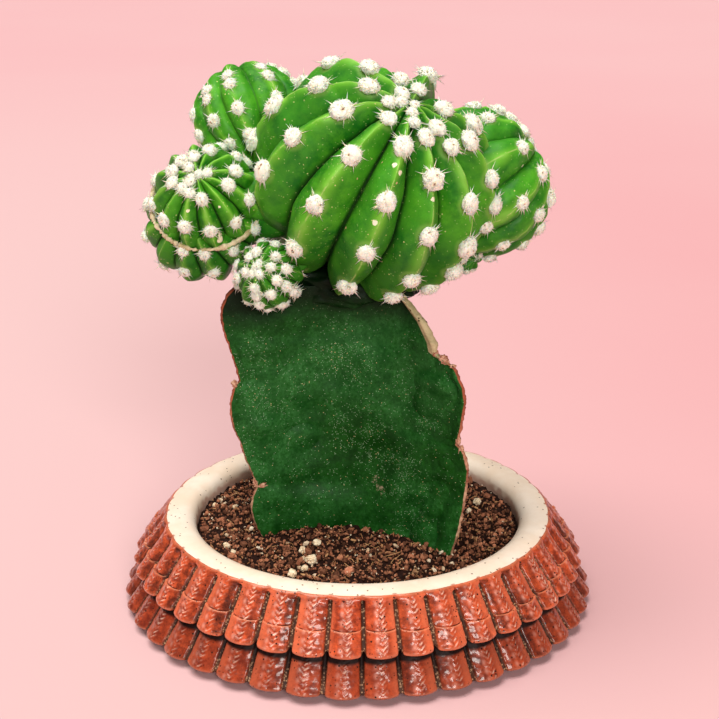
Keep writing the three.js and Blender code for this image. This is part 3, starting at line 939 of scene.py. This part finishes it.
# %% Table of heads
# Crown and base are the heights above and below the middle. Dip is how far the crown is sunk, groove how deep
# the furrows are, and roundness how full the ribs stand between them.
size_names = ("radius", "crown", "base", "dip", "groove", "roundness")
low_ribs = {-248: 0.5, -308: 0.6}  # ribs at the back of the main head that stand less high, by their bearing


def even_ribs(count, turn):
    """The bearings of evenly spaced ribs."""
    return [turn - index * 360 / count for index in range(count)]


def make_head(centre, apex, size, ribs, tuft, detail, areoles):
    """A head's measures, with its ribs' bearings and its areoles' angles from the apex on each rib.

    Tuft is how wide a tuft is, and detail is the number of points across a rib and of rings."""
    axis = unit(apex)
    sideways = unit(np.cross((0, 1, 0), axis))
    return dict(zip(size_names, size), centre=np.array(centre), axis=axis, sideways=sideways,
                beyond=np.cross(axis, sideways), ribs=ribs, low=[low_ribs.get(rib, 0.0) for rib in ribs],
                tuft=tuft, detail=detail, areoles=areoles)


heads = {
    "main_head": make_head(
        (5.5, -8, 153.2), (0.338, -0.479, 0.81), (41.2, 36, 38, 2.3, 9, 1.35),
        [19, -6, -33, -59, -85, -115, -148, -180, -216, -248, -279, -308], 6.7, (42, 180),
        {0: [16, 34, 54, 80, 106], 1: [32, 55, 71, 95, 118], 2: [17, 28, 56, 80, 98, 118],
         3: [21, 41, 68, 96, 116], 4: [28, 55, 83, 112], 5: [18, 44, 73, 104], 6: [11, 34, 60, 85, 110],
         7: [20, 44, 71, 97], 8: [6, 28, 54, 80, 104], 9: [19, 66, 92, 116], 10: [11, 33, 62, 90, 118],
         11: [66, 92, 118]}),
    "offset_left": make_head(
        (-49.2, -14, 147.4), (-0.11, -0.73, 0.67), (17.8, 16.5, 16, 1.5, 3.2, 1.6), even_ribs(12, 5),
        4.4, (28, 110),
        {0: [11, 43], 1: [36, 67], 2: [71], 3: [29, 66], 4: [22, 60], 5: [9, 21, 66], 6: [28, 74, 92],
         7: [30, 74], 8: [14, 27], 9: [25], 10: [36, 69], 11: [2, 58, 84]}),
    "offset_left_lower": make_head(
        (-50.6, -9, 139.2), (-0.22, -0.88, 0.41), (20.6, 15.5, 16.5, 1, 3, 1.6), even_ribs(12, 20),
        4.1, (28, 100),
        {3: [60], 4: [44, 71], 5: [39, 67], 6: [92], 7: [79], 8: [60, 95], 9: [80], 10: [62, 92], 11: [84],
         0: [70, 100], 1: [88], 2: [72, 104]}),
    "offset_front_small": make_head(
        (-28.5, -27, 125.2), (-0.35, -0.81, 0.48), (11.2, 10.5, 10, 0.8, 1.6, 1.6), even_ribs(11, 0),
        3.4, (22, 70),
        {0: [38], 1: [25, 53], 2: [43, 64, 85, 114], 3: [12, 54, 96, 124], 4: [36, 51, 73, 112], 5: [13, 90],
         6: [22, 48, 77], 7: [4, 60, 95], 8: [26, 80], 9: [29, 70, 100], 10: [8, 60, 90]}),
    "offset_upper_left": make_head(
        (-36.4, 14, 169.1), (-0.32, 0.54, 0.78), (19.2, 18.5, 19, 1.5, 2.0, 2.8),
        [-8, -48, -90, -120, -154, -190, -226, -262, -298, -334], 4.3, (32, 110),
        {0: [43, 59, 76], 1: [58, 74, 100], 2: [59, 73, 102], 3: [64, 76, 101], 4: [74, 99]}),
    "offset_right": make_head(
        (41.4, 9, 148.1), (0.86, 0.06, 0.51), (26, 23.5, 25, 2, 3.7, 2.5),
        [-15, -43, -70, -111, -152, -186, -220, -252, -284, -315, -345], 5.1, (34, 130),
        {0: [17, 41, 66, 85], 1: [61, 99], 2: [36, 69, 104], 3: [42, 84], 4: [9, 21, 57], 5: [31, 42, 62]}),
    "offset_right_lower": make_head(
        (35.7, 2, 125.3), (0.65, -0.74, -0.16), (7.3, 7, 7, 0.5, 1, 1.8), even_ribs(9, 0), 2.5, (16, 44),
        {0: [50], 1: [74], 2: [40], 3: [65], 4: [74], 5: [45], 6: [22], 7: [70], 8: [60]}),
}
main_head = heads["main_head"]
print(len(heads), "heads with", [len(one["ribs"]) for one in heads.values()], "ribs")

# %% [markdown]
# Three questions come up again and again: where a place on a head lies, how deep a point is inside a
# head, and where the areoles sit.

# %% Places on a head
def on_head(head, bearing, angle, furrow=0.0):
    """Points of a head at a bearing and an angle from its apex. Furrow is 0 on a crest and 1 in a furrow."""
    around, down = np.radians(bearing), np.radians(angle)
    half = np.where(down < np.pi / 2, head["crown"], head["base"])
    pressed = head["groove"] * np.minimum(1, np.abs(np.sin(down)) / 0.57) ** 0.8
    inward = pressed * (0.82 * furrow ** head["roundness"] + 0.18 * furrow ** 8)
    outward = (head["radius"] - inward) * np.sin(down)
    height = (half - inward) * np.cos(down) - head["dip"] * np.exp(-(np.asarray(angle) / 20) ** 2)
    return (head["centre"] + head["sideways"] * (outward * np.cos(around))[..., None]
            + head["beyond"] * (outward * np.sin(around))[..., None] + head["axis"] * height[..., None])


def depth_in_head(head, points, grow=0.0):
    """How far out points lie in a head, as a share of its furrowless outline. Below 1 is inside."""
    local = points - head["centre"]
    height = local @ head["axis"]
    aside = np.linalg.norm(local - height[..., None] * head["axis"], axis=-1)
    half = np.where(height > 0, head["crown"], head["base"])
    return np.hypot(aside / (head["radius"] + grow), height / (half + grow))


def areole_places(head):
    """Each areole's bearing, angle and furrow. Ribs that the photo doesn't show are filled by rule."""
    places = []
    for rib, bearing in enumerate(head["ribs"]):
        angles = head["areoles"].get(rib, list(np.arange(22 + 14 * (rib % 2), 108, 30)))
        hidden = [max(angles) + 28] if max(angles) > 75 else []
        places += [(bearing, angle, head["low"][rib]) for angle in angles + hidden if angle < 138]
    return np.array(places, float).T


print("areoles:", sum(len(areole_places(one)[0]) for one in heads.values()))

# %% [markdown]
# ## The stem's surface
# The sections are stacked every half millimetre. The faces swell and sag a little, and a short crease
# runs in from each notch. Where a head presses on the stem, its points are moved out to the head's
# outline, so that the graft fits closely. The mark "margin" holds how far a point lies in from the
# ridge, in millimetres.

# %% The stem's shape
# Each crease's wing, height and depth.
creases = [(0, 85.7, 1.0), (0, 46.8, 0.7), (1, 67.5, 0.8), (1, 94.5, 0.9), (2, 67.5, 0.8)]
across_stem = (0.3, 0.3, 1)  # stretches lumps to folds that lie across the stem


def stem_ring(height):
    """A finished section and each point's margin."""
    flat = stem_section(height)
    place = np.column_stack([flat, np.full(len(flat), height)])
    insets = [wing_reach(wing, height) - (flat - stem_centre) @ wing["outward"] for wing in wings]
    margin = np.min(insets, axis=0)
    swell = 0.9 * wander(place, 30, 61) + 0.4 * wander(place * across_stem, 12, 62)
    swell = swell * soft_step(margin, 0.3, 9)
    for wing, level, depth in creases:
        above = height - level
        fade = np.exp(-(insets[wing] / 9) ** 2) * soft_step(margin, 0.2, 2)
        swell += depth * fade * (0.5 * np.exp(-((above + 4) / 2.6) ** 2)
                                 - np.exp(-((above + 0.12 * insets[wing]) / 1.5) ** 2))
    ragged = (0.10 + 0.12 * wander(place, 2.4, 63) + 0.06 * wander(place, 1.0, 64)) * (margin < 1.3)
    along = np.roll(flat, -1, axis=0) - np.roll(flat, 1, axis=0)
    normal = unit_rows(np.column_stack([along[:, 1], -along[:, 0], 0 * along[:, 0]]))
    return place + normal * (swell + ragged)[:, None], margin


rings, margins = zip(*(stem_ring(height) for height in np.linspace(stem_low, stem_high, 230)))
points, tables = skin(rings, (*stem_centre, stem_low), (*stem_centre, stem_high))
for one in heads.values():
    out = depth_in_head(one, points, 0.3)
    pushed = one["centre"] + (points - one["centre"]) / np.maximum(out, 0.2)[:, None]
    points = np.where((out < 1)[:, None], pushed, points)
stem_surface = points, tables, np.append(margins, (20, 20))
print("stem sections:", len(rings), "of", len(rings[0]), "points")

# %% [markdown]
# ### The stem's skin
# The skin is deep green with a bluish bloom in broad patches, fine tan specks that gather in swarms, and
# a few dry scars. A thin line of cork runs along each ridge: reddish brown near the top, pale near the
# soil. On the right shoulder a strip was cut off and has dried to a pale tan.

# %% The stem's finish and piece
swarms = [((1.5, -11, 66), 15), ((-5, -11, 92), 15), ((16, -11, 52), 17), ((27, -17, 72), 11),
          ((22, -15, 38), 14), ((-31, -14, 77), 9)]  # place and reach, in millimetres
scars = [((9, -11, 43.2), 4.6), ((6.5, -11, 46.5), 3.2), ((1.5, -11, 67.5), 2.6)]


def stem_finish():
    finish = Finish("stem_skin", IOR=1.4, Specular_IOR_Level=0.17)
    margin, height = finish.mark("margin"), finish.along("Z")
    broad, patches = finish.mottle(24, 0.5), finish.mottle(150, 0.75)
    bloom = (broad + 0.25) * (patches + 0.2) * (finish.mottle(900, 0.8) * 0.6)
    gather = finish.mottle(42, 0.5) * 0.25
    for spot, reach in swarms:
        gather = gather + finish.near(spot, reach) * 0.55
    swarm = patches * gather
    green = finish.coats(
        (0.001, 0.030, 0.0006),
        (broad, (0.007, 0.080, 0.009)),
        (patches * 0.45, (0.011, 0.115, 0.003)),
        (finish.mottle(500, 0.8) * 0.35, (0.001, 0.028, 0.002)),
        (bloom, (0.050, 0.21, 0.055)),
        (finish.flecks(2500, 0.34, swarm * 0.6 + 0.02), (0.24, 0.38, 0.22)),
        (finish.flecks(1700, 0.24, swarm * 0.16 + 0.008), (0.70, 0.52, 0.26)))
    scratched = finish.mottle(620, 0.85)
    for scar, reach in scars:
        dry = finish.near(scar, reach) * scratched
        green = finish.coats(green, (dry.step(0.55, 0.72) * 0.8, (0.40, 0.30, 0.20)))
    # Painted shade: the stem's top under the heads, and the callus there, are painted nearly black.
    under_heads = (height + broad * 0.006).step(0.103, 0.118)
    cork = finish.coats(
        (0.60, 0.38, 0.24), (height.step(0.045, 0.085), (0.40, 0.10, 0.05)), (patches, (0.22, 0.055, 0.03)))
    dried = finish.coats(
        (0.62, 0.50, 0.29), (patches, (0.34, 0.28, 0.14)), (finish.flecks(700, 0.3, 0.3), (0.10, 0.06, 0.03)))
    edge = (margin + patches * 0.2).step(0.56, 0.36)
    cut_strip = finish.along("X").step(0.012, 0.015) * height.step(0.0945, 0.0965) * margin.step(3.4, 2.8)
    shaded = (under_heads * 0.93, (0.001, 0.005, 0.001))
    colour = finish.coats(green, shaded, (edge, cork), (cut_strip, dried))
    return finish.wire(Base_Color=colour, Roughness=(patches + edge) * 0.2 + 0.42, grain=(1100, 0.4, 0.00025))


stem_skin = stem_finish()
points, tables, margin = stem_surface
make_piece("winged_stem", points, tables, stem_skin, "stem_skin", ["rootstock"], margin=margin)

# %% [markdown]
# ### Corky knots
# An areole sits in each notch of the ridges. On this old stem they have dried to small curled knots of
# pinkish cork. Each knot is a few displaced balls that overlap, pressed against the ridge.

# %% Knots in the notches
def cork_finish():
    finish = Finish("cork", Roughness=0.8, Specular_IOR_Level=0.2)
    colour = finish.coats(
        (0.72, 0.45, 0.30),
        (finish.mottle(700, 0.7), (0.34, 0.11, 0.06)),
        (finish.flecks(900, 0.35, 0.2), (0.10, 0.03, 0.02)))
    return finish.wire(Base_Color=colour, grain=(1800, 0.7, 0.0003))


# Each knot's wing, its height, how far it sits in from the ridge, and its size.
knots = [(0, 84.9, -0.9, (2.2, 2.0, 1.8)), (0, 83.9, 0.2, (1.8, 1.7, 1.8)), (0, 46.6, 1.3, (4.4, 2.2, 1.8)),
         (0, 48.0, 0.2, (2.0, 1.9, 2.4)), (1, 69.2, 0.1, (1.5, 1.6, 3.4)), (1, 66.0, 0.5, (1.7, 1.6, 3.4)),
         (1, 96.4, -0.2, (2.8, 2.2, 2.2)), (1, 95.4, 0.9, (2.4, 2.2, 2.0)), (1, 97.2, 1.0, (1.8, 1.8, 2.2)),
         (1, 94.6, -0.6, (2.0, 1.6, 1.2)), (2, 67.5, 0, (2.4, 2.4, 4))]
blocks = []
for seed, (wing, level, inward, size) in enumerate(knots):
    reach = wing_reach(wings[wing], level) - inward
    points, faces = lumpy_ball(3, (0.16, 0.9, 300 + seed), (0.07, 0.4, 350 + seed))
    middle = np.append(stem_centre + wings[wing]["outward"] * reach, level)
    blocks.append((points * np.array(size) / 2 + middle, [faces]))
points, tables = join(blocks)
make_piece("corky_knots", points, tables, cork_finish(), "stem_skin")

# %% [markdown]
# ### The graft
# Where the main head was set on the stem, a lumpy ring of callus has grown and closes the gap between them.
# It lies in deep shadow, and painted shade on the stem's finish makes most of it nearly black. Without it
# light would show through between the head and the stem.

# %% Callus of the graft
callus_middle = (-5, -1, 116.5)
callus_half = (25, 15, 9)
far_from_ridges = 9.0
points, faces = lumpy_ball(4, (0.05, 0.7, 90), (0.03, 0.25, 91))
points = points * callus_half + callus_middle
make_piece("graft_callus", points, [faces], stem_skin, "stem_skin", margin=far_from_ridges)

# %% [markdown]
# ## The heads
# A ribbed head could be a ball with a bump texture, but its outline would stay smooth. Here each head is
# a skin of rings around its axis, with points packed closely at the crests and in the furrows. Each
# areole sits in a small hollow and the rib swells between two of them.

# %% The heads' shape
usual_tuft = 7  # the width, in millimetres, of the tufts that the hollows and swellings were sized for


def head_rings(head):
    """The rings of a head from its base to its apex, and each point's furrow."""
    around, down = head["detail"]
    order = np.argsort(head["ribs"])
    crests, lows = np.array(head["ribs"])[order], np.array(head["low"])[order]
    gaps = np.diff(np.append(crests, crests[0] + 360))
    even = np.arange(around) / around
    share = even - 0.55 * np.sin(4 * np.pi * even) / (4 * np.pi)
    bearing = (crests[:, None] + gaps[:, None] * share).ravel()
    beside = np.where(share < 0.5, lows[:, None], np.roll(lows, -1)[:, None])
    furrow = (beside + (1 - beside) * (1 - np.abs(2 * share - 1))).ravel()
    angles = np.linspace(0, 180, down + 2)[1:-1]
    return [on_head(head, bearing, np.full(len(bearing), angle), furrow) for angle in angles[::-1]], furrow


def head_shape(head, seed):
    """A head's points, its faces and its marks for the furrows and the nearest areole."""
    rings, furrow = head_rings(head)
    base = on_head(head, np.zeros(1), np.full(1, 180.0), 0.0)[0]
    apex = on_head(head, np.zeros(1), np.zeros(1), 1.0)[0]
    points, tables = skin(rings, base, apex)
    furrow = np.append(np.tile(furrow, len(rings)), (1, 1))
    nearest = np.full(len(points), 99.0)
    for areole in on_head(head, *areole_places(head)):
        nearest = np.minimum(nearest, np.linalg.norm(points - areole, axis=1))
    size = head["tuft"] / usual_tuft
    nearest = nearest / size
    lift = 0.55 * soft_step(nearest, 2.5, 8) * (1 - furrow) ** 2 - 0.7 * np.exp(-(nearest / 2.6) ** 2)
    lift = size * (lift + 0.3 * wander(points, 13 * size, seed)) + 0.07 * wander(points, 4, seed + 1)
    points = points + unit_rows(points - head["centre"]) * lift[:, None]
    # The shallow furrows of a round head get less painted shade.
    if head["roundness"] > 2:  # the shallow furrows of a round head are less dark
        furrow = 0.92 * furrow
    return points, tables, {"furrow": furrow, "nearest": nearest, "seam": 0.0}


print("rings in a head:", [len(head_rings(one)[0]) for one in heads.values()])

# %% [markdown]
# ### The heads' skin
# The crests are yellow-green, partly their own colour and partly painted light, and the faces a mottled mid
# green. The furrows are painted nearly black green and the undersides darker, as shade. A thin pale line, a
# painted highlight, follows each crest. Tan specks and a few white scabs are scattered over it. The skin is
# smooth and a little waxy, so it is given a thin soft coat. The same finish turns to cork where the mark
# "seam" is set.

# %% The heads' finish and pieces
# Each scab's head, its bearing, its angle from the apex and its reach.
scabs = [("main_head", -88, 38, 1.5), ("main_head", -82, 40.5, 1.5), ("main_head", -87, 66, 1.5),
         ("main_head", -133, 92, 1.2), ("main_head", -59, 50, 1.3), ("main_head", -110, 80, 1.0),
         ("offset_left", -111, 41, 1.1), ("offset_left", -64, 44, 1.2), ("offset_left", -71, 51, 1.2),
         ("offset_left", -74, 77, 2.6), ("offset_left", -77, 84, 2.2)]


def head_finish():
    finish = Finish("head_skin", IOR=1.4, Coat_Roughness=0.35, Coat_Weight=0.06, Specular_IOR_Level=0.24,
                    Subsurface_Weight=0.08, Subsurface_Scale=0.002, Subsurface_Radius=(0.4, 1.0, 0.15))
    furrow = finish.mark("furrow")
    broad, patches = finish.mottle(60, 0.5), finish.mottle(240, 0.7)
    uneven = furrow + (broad + -0.5) * 0.3
    colour = finish.coats(
        (0.0095, 0.148, 0.004),
        (broad, (0.072, 0.37, 0.012)),
        (patches * 0.5, (0.11, 0.43, 0.016)),
        (finish.mottle(900, 0.8) * 0.22, (0.02, 0.13, 0.01)),
        (finish.mottle(32, 0.5) * 0.45, (0.009, 0.135, 0.018)),
        # Painted light, partly the crests' own colour: the yellow-green crests.
        (uneven.step(0.36, -0.04) * 0.8, (0.17, 0.50, 0.032)),  # yellow-green crests
        (uneven.step(0.10, -0.04) * 0.3, (0.30, 0.58, 0.10)),
        # Painted shade on the undersides.
        (finish.along("Z").step(0.150, 0.122) * 0.6, (0.012, 0.10, 0.006)),  # darker undersides
        # Painted shade in the furrows.
        (furrow.step(0.84, 0.99) * 0.9, (0.003, 0.022, 0.003)),  # dark furrows
        # Painted highlight: the pale line along each crest.
        (furrow.step(0.035, 0.012) * patches.step(0.2, 0.7) * 0.34, (0.62, 0.66, 0.26)),  # the pale line
        (finish.mark("nearest").step(5.2, 3.4) * 0.35, (0.32, 0.50, 0.12)),  # paler around the wool
        (finish.flecks(1500, 0.27, 0.12) * 0.55, (0.45, 0.62, 0.20)),
        (finish.flecks(900, 0.2, 0.05), (0.62, 0.62, 0.24)),
        (finish.flecks(260, 0.11, 0.09), (0.60, 0.42, 0.20)),
        (finish.flecks(130, 0.075, 0.1), (0.92, 0.86, 0.66)))
    ragged = (finish.mottle(900, 0.8) + 0.6) * 0.75
    for name, bearing, angle, reach in scabs:
        spot = on_head(heads[name], np.array([bearing]), np.array([angle]))[0]
        scab = (finish.near(spot, reach) * ragged).step(0.42, 0.6)
        colour = finish.coats(colour, (scab, (0.93, 0.84, 0.62)))
    cork = finish.coats((0.86, 0.76, 0.52), (patches, (0.42, 0.33, 0.15)))
    colour = finish.coats(colour, ((finish.mark("seam") + patches * 0.3).step(0.65, 0.95), cork))
    return finish.wire(Base_Color=colour, Roughness=patches * 0.16 + 0.42, grain=(700, 0.22, 0.0002))


green_skin = head_finish()
for seed, (name, one) in enumerate(heads.items()):
    points, tables, marks = head_shape(one, 100 + 5 * seed)
    make_piece(name + "_flesh", points, tables, green_skin, "head_skin", [name], **marks)

# %% [markdown]
# ### Necks
# Each smaller head grew out of the main head on a short narrow neck. The necks are hardly seen from the
# front, but they close the dark gaps between the heads. Each is a stretched, uneven ball that ends
# inside both heads.

# %% The necks between the heads
neck_width = 0.48  # as a share of the smaller head's radius
neck_ends_at = main_head["centre"] + (0, 0, -6)
blocks = []
for seed, (name, one) in enumerate(heads.items()):
    if name != "main_head":
        along = unit(neck_ends_at - one["centre"])
        reach = np.linalg.norm(neck_ends_at - one["centre"]) - 0.5 * main_head["radius"]
        points, faces = lumpy_ball(3, (0.05, 0.8, 200 + seed))
        lengthwise = np.outer(points @ along, along)
        points = (points - lengthwise) * neck_width * one["radius"] + lengthwise * reach / 2
        blocks.append((points + one["centre"] + along * reach / 2, [faces]))
points, tables = join(blocks)
make_piece("offset_necks", points, tables, green_skin, "head_skin", furrow=0.75, nearest=9.0, seam=0.0)

# %% [markdown]
# ### The corky ring
# A pale corky scar runs around the two left heads where they meet. It follows the line where their
# outlines cross. That line has no simple formula, so it is looked up at each bearing, and a lumpy cord
# is laid along it.

# %% The ring between the left heads
cord_points = 12
cord_flatness = 1.3


def crossing(first, second, bearing):
    """Where the first head's outline comes out of the second head, at a bearing."""
    angle = np.linspace(20, 150, 600)
    line = on_head(first, np.full(600, bearing), angle, 0.1)
    return line[np.argmax(depth_in_head(second, line) > 1.03)]


lower, upper = heads["offset_left_lower"], heads["offset_left"]
middle = np.array([crossing(lower, upper, bearing) for bearing in np.arange(0, 360, 1.5)])
ahead = unit_rows(np.roll(middle, -1, axis=0) - np.roll(middle, 1, axis=0))
outward = unit_rows(middle - middle.mean(0))
aside = np.cross(ahead, outward)
turn = np.linspace(0, 2 * np.pi, cord_points, endpoint=False)[:, None]
thick = 0.66 + 0.22 * wander(middle, 5, 401) + 0.12 * wander(middle, 1.6, 402)
ring = outward[:, None] * np.cos(turn) + cord_flatness * aside[:, None] * np.sin(turn)
points = (middle[:, None] + ring * thick[:, None, None]).reshape(-1, 3)
points = points + 0.12 * wander(points, 0.9, 403)[:, None]
row, step = np.mgrid[0:len(middle), 0:cord_points]
here, there = row * cord_points, (row + 1) % len(middle) * cord_points
beside = (step + 1) % cord_points
faces = np.stack([here + step, here + beside, there + beside, there + step], -1).reshape(-1, 4)
make_piece("corky_ring", points, [faces], green_skin, "head_skin", furrow=0.5, nearest=9.0, seam=1.0)

# %% [markdown]
# ## Woolly tufts
# Each areole carries a round tuft of ivory wool with short pale spines around its rim. A hair system
# would leave nothing to export, so the wool is a lumpy ball with small dark pits, set with fine closed
# spikes as loose hairs. All of a head's tufts make one mesh. At a crown small tufts crowd together.

# %% Tufts
fine_ball = ball(3)


def spikes(starts, ends, radius):
    """Thin closed three-sided spikes, from each start to each end."""
    along = unit_rows(ends - starts)
    aside = unit_rows(np.cross(along, (0.31, 0.52, 0.8)))
    turn = np.radians([0, 120, 240])[:, None]
    ring = aside[:, None] * np.cos(turn) + np.cross(along, aside)[:, None] * np.sin(turn)
    ring = starts[:, None] + radius[:, None, None] * ring
    points = np.concatenate([ring, ends[:, None]], 1).reshape(-1, 3)
    sides = np.array([(0, 1, 3), (1, 2, 3), (2, 0, 3), (0, 2, 1)])
    return points, [(sides[None] + 4 * np.arange(len(starts))[:, None, None]).reshape(-1, 3)]


def wool_ball(dice):
    """A lumpy ball around 0 with a few pits, and its tone, which is dark in the pits."""
    base, faces = fine_ball
    lumps = 1 + 0.05 * wander(base, 1.1, dice.integers(1e6), 10)
    lumps = lumps + 0.04 * wander(base, 0.36, dice.integers(1e6), 12)
    tone = np.maximum(0.65 + 0.18 * wander(base, 0.5, dice.integers(1e6), 8), 0.12)
    for _ in range(dice.integers(1, 4)):
        pit = unit(0.8 * dice.normal(size=3) + (0, 0, 1.5))
        hole = np.exp(-(np.linalg.norm(base - pit, axis=1) / 0.15) ** 2)
        lumps, tone = lumps - 0.1 * hole, tone - 1.6 * hole
    return base * lumps[:, None], [faces], np.clip(tone, 0, 1)


hair_thick, spine_thick = 0.14, (0.24, 0.31)


def tuft(middle, out, down, width, dice):
    """One tuft as blocks of points, faces and the marks kind (0 wool, 0.5 hair, 1 spine) and tone."""
    local, faces, tone = wool_ball(dice)
    shape = np.array([0.5 * dice.uniform(0.92, 1.15), 0.49, 0.36 * dice.uniform(0.85, 1.15)]) * width
    turned = np.array([down, np.cross(out, down), out])

    def place(local):
        return middle + (local * shape + (0, 0, 0.09 * width)) @ turned

    blocks = [(place(local), faces, np.zeros(len(local)), tone)]
    hairs = int(80 + 26 * width)
    roots = unit_rows(dice.normal(size=(hairs, 3)))
    roots[:, 2] = np.abs(roots[:, 2]) - 0.25
    roots = unit_rows(roots)
    lean = unit_rows(roots + 0.5 * dice.normal(size=(hairs, 3)))
    length = dice.uniform(0.4, 1.1, hairs)[:, None] * (0.5 + width / 14)
    start = place(roots * 0.93)
    thick = np.full(hairs, hair_thick + 0.009 * width)
    points, faces = spikes(start, start + (lean @ turned) * length, thick)
    blocks.append((points, faces, np.full(len(points), 0.5), np.repeat(dice.uniform(0.5, 1, hairs), 4)))
    # The spines stand around the rim and lean down the rib.
    spines = dice.integers(10, 16)
    turn = np.sort(dice.uniform(0, 2 * np.pi, spines))
    rim = polar(1, turn, dice.uniform(-0.15, 0.5, spines))
    start = place(unit_rows(rim) * 0.8)
    heading = unit_rows(rim + (0.35, 0, 0) + 0.2 * dice.normal(size=(spines, 3))) @ turned
    length = (1.1 + 0.34 * width) * dice.uniform(0.7, 1.35, spines)[:, None]
    thick = dice.uniform(*spine_thick, spines) * (0.5 + width / 15)
    points, faces = spikes(start, start + heading * length, thick)
    blocks.append((points, faces, np.ones(len(points)), np.repeat(dice.uniform(0, 1, spines), 4)))
    return blocks


print("a tuft's ball:", len(fine_ball[0]), "points")

# %% [markdown]
# A tuft stands square on its rib, so two steps along the head's surface give the direction it looks in.
# Tufts that would be buried in another head are left out.

# %% All the tufts of a head
crown_wool = {"main_head": [(-76, 7), (-74, 13), (-20, 2), (-150, 5)]}  # bearing and angle of extra tufts
plain_crown = [(20, 2), (190, 6)]
tiny_turn = 0.5


def all_tufts(name, dice):
    one = heads[name]
    crowd = crown_wool.get(name, plain_crown)
    bearing, angle, low = areole_places(one)
    by_angle = np.interp(angle, [0, 14, 30, 140], [0.6, 0.8, 1, 0.9])
    widths = one["tuft"] * dice.uniform(0.88, 1.08, len(bearing)) * by_angle
    widths = np.append(widths, one["tuft"] * dice.uniform(0.46, 0.64, len(crowd)))
    more_bearings, more_angles = np.array(crowd).T
    bearing, angle = np.append(bearing, more_bearings), np.append(angle, more_angles)
    low = np.append(low, np.zeros(len(crowd)))
    here = on_head(one, bearing, angle, low)
    lower = on_head(one, bearing, angle + tiny_turn, low) - here
    aside = on_head(one, bearing + tiny_turn, angle, low) - here
    out = unit_rows(np.cross(lower, aside))
    out *= np.sign(np.sum(out * (here - one["centre"]), axis=1))[:, None]
    lower = unit_rows(lower)
    others = [other for key, other in heads.items() if key != name]
    blocks = []
    for place, outward, down, width in zip(here, out, lower, widths):
        if all(depth_in_head(other, place + outward) >= 0.97 for other in others):
            blocks += tuft(place - 0.5 * outward, outward, down, width, dice)
    return blocks


print("extra tufts at the main head's crown:", len(crown_wool["main_head"]))

# %% [markdown]
# ### Wool
# Wool scatters light inside, which a little subsurface light stands for. The shade runs from ivory to
# peach in the hollows and to brown in the pits. Spines are cream, and some are browner at random.

# %% The wool's finish and pieces
def wool_finish():
    finish = Finish("wool", Roughness=0.95, Specular_IOR_Level=0.15, Subsurface_Weight=0.25,
                    Subsurface_Scale=0.0012)
    tone = finish.mark("tone")
    wool = finish.coats(
        (0.97, 0.78, 0.56),
        (tone.step(0.05, 0.6), (1.0, 0.98, 0.84)),
        (finish.mottle(1400, 0.75) * 0.25, (0.96, 0.82, 0.62)),
        (tone.step(0.06, 0.0), (0.26, 0.10, 0.045)))
    spine = finish.coats((0.96, 0.80, 0.56), (tone, (1.0, 0.98, 0.86)))
    colour = finish.coats(wool, (finish.mark("kind").step(0.7, 0.9), spine))
    return finish.wire(Base_Color=colour, grain=(2600, 0.8, 0.0004))


ivory_wool = wool_finish()
dice = np.random.default_rng(77)
for name in heads:
    points, tables, kind, tone = join(all_tufts(name, dice))
    make_piece(name + "_wool", points, tables, ivory_wool, "wool", kind=kind, tone=tone)
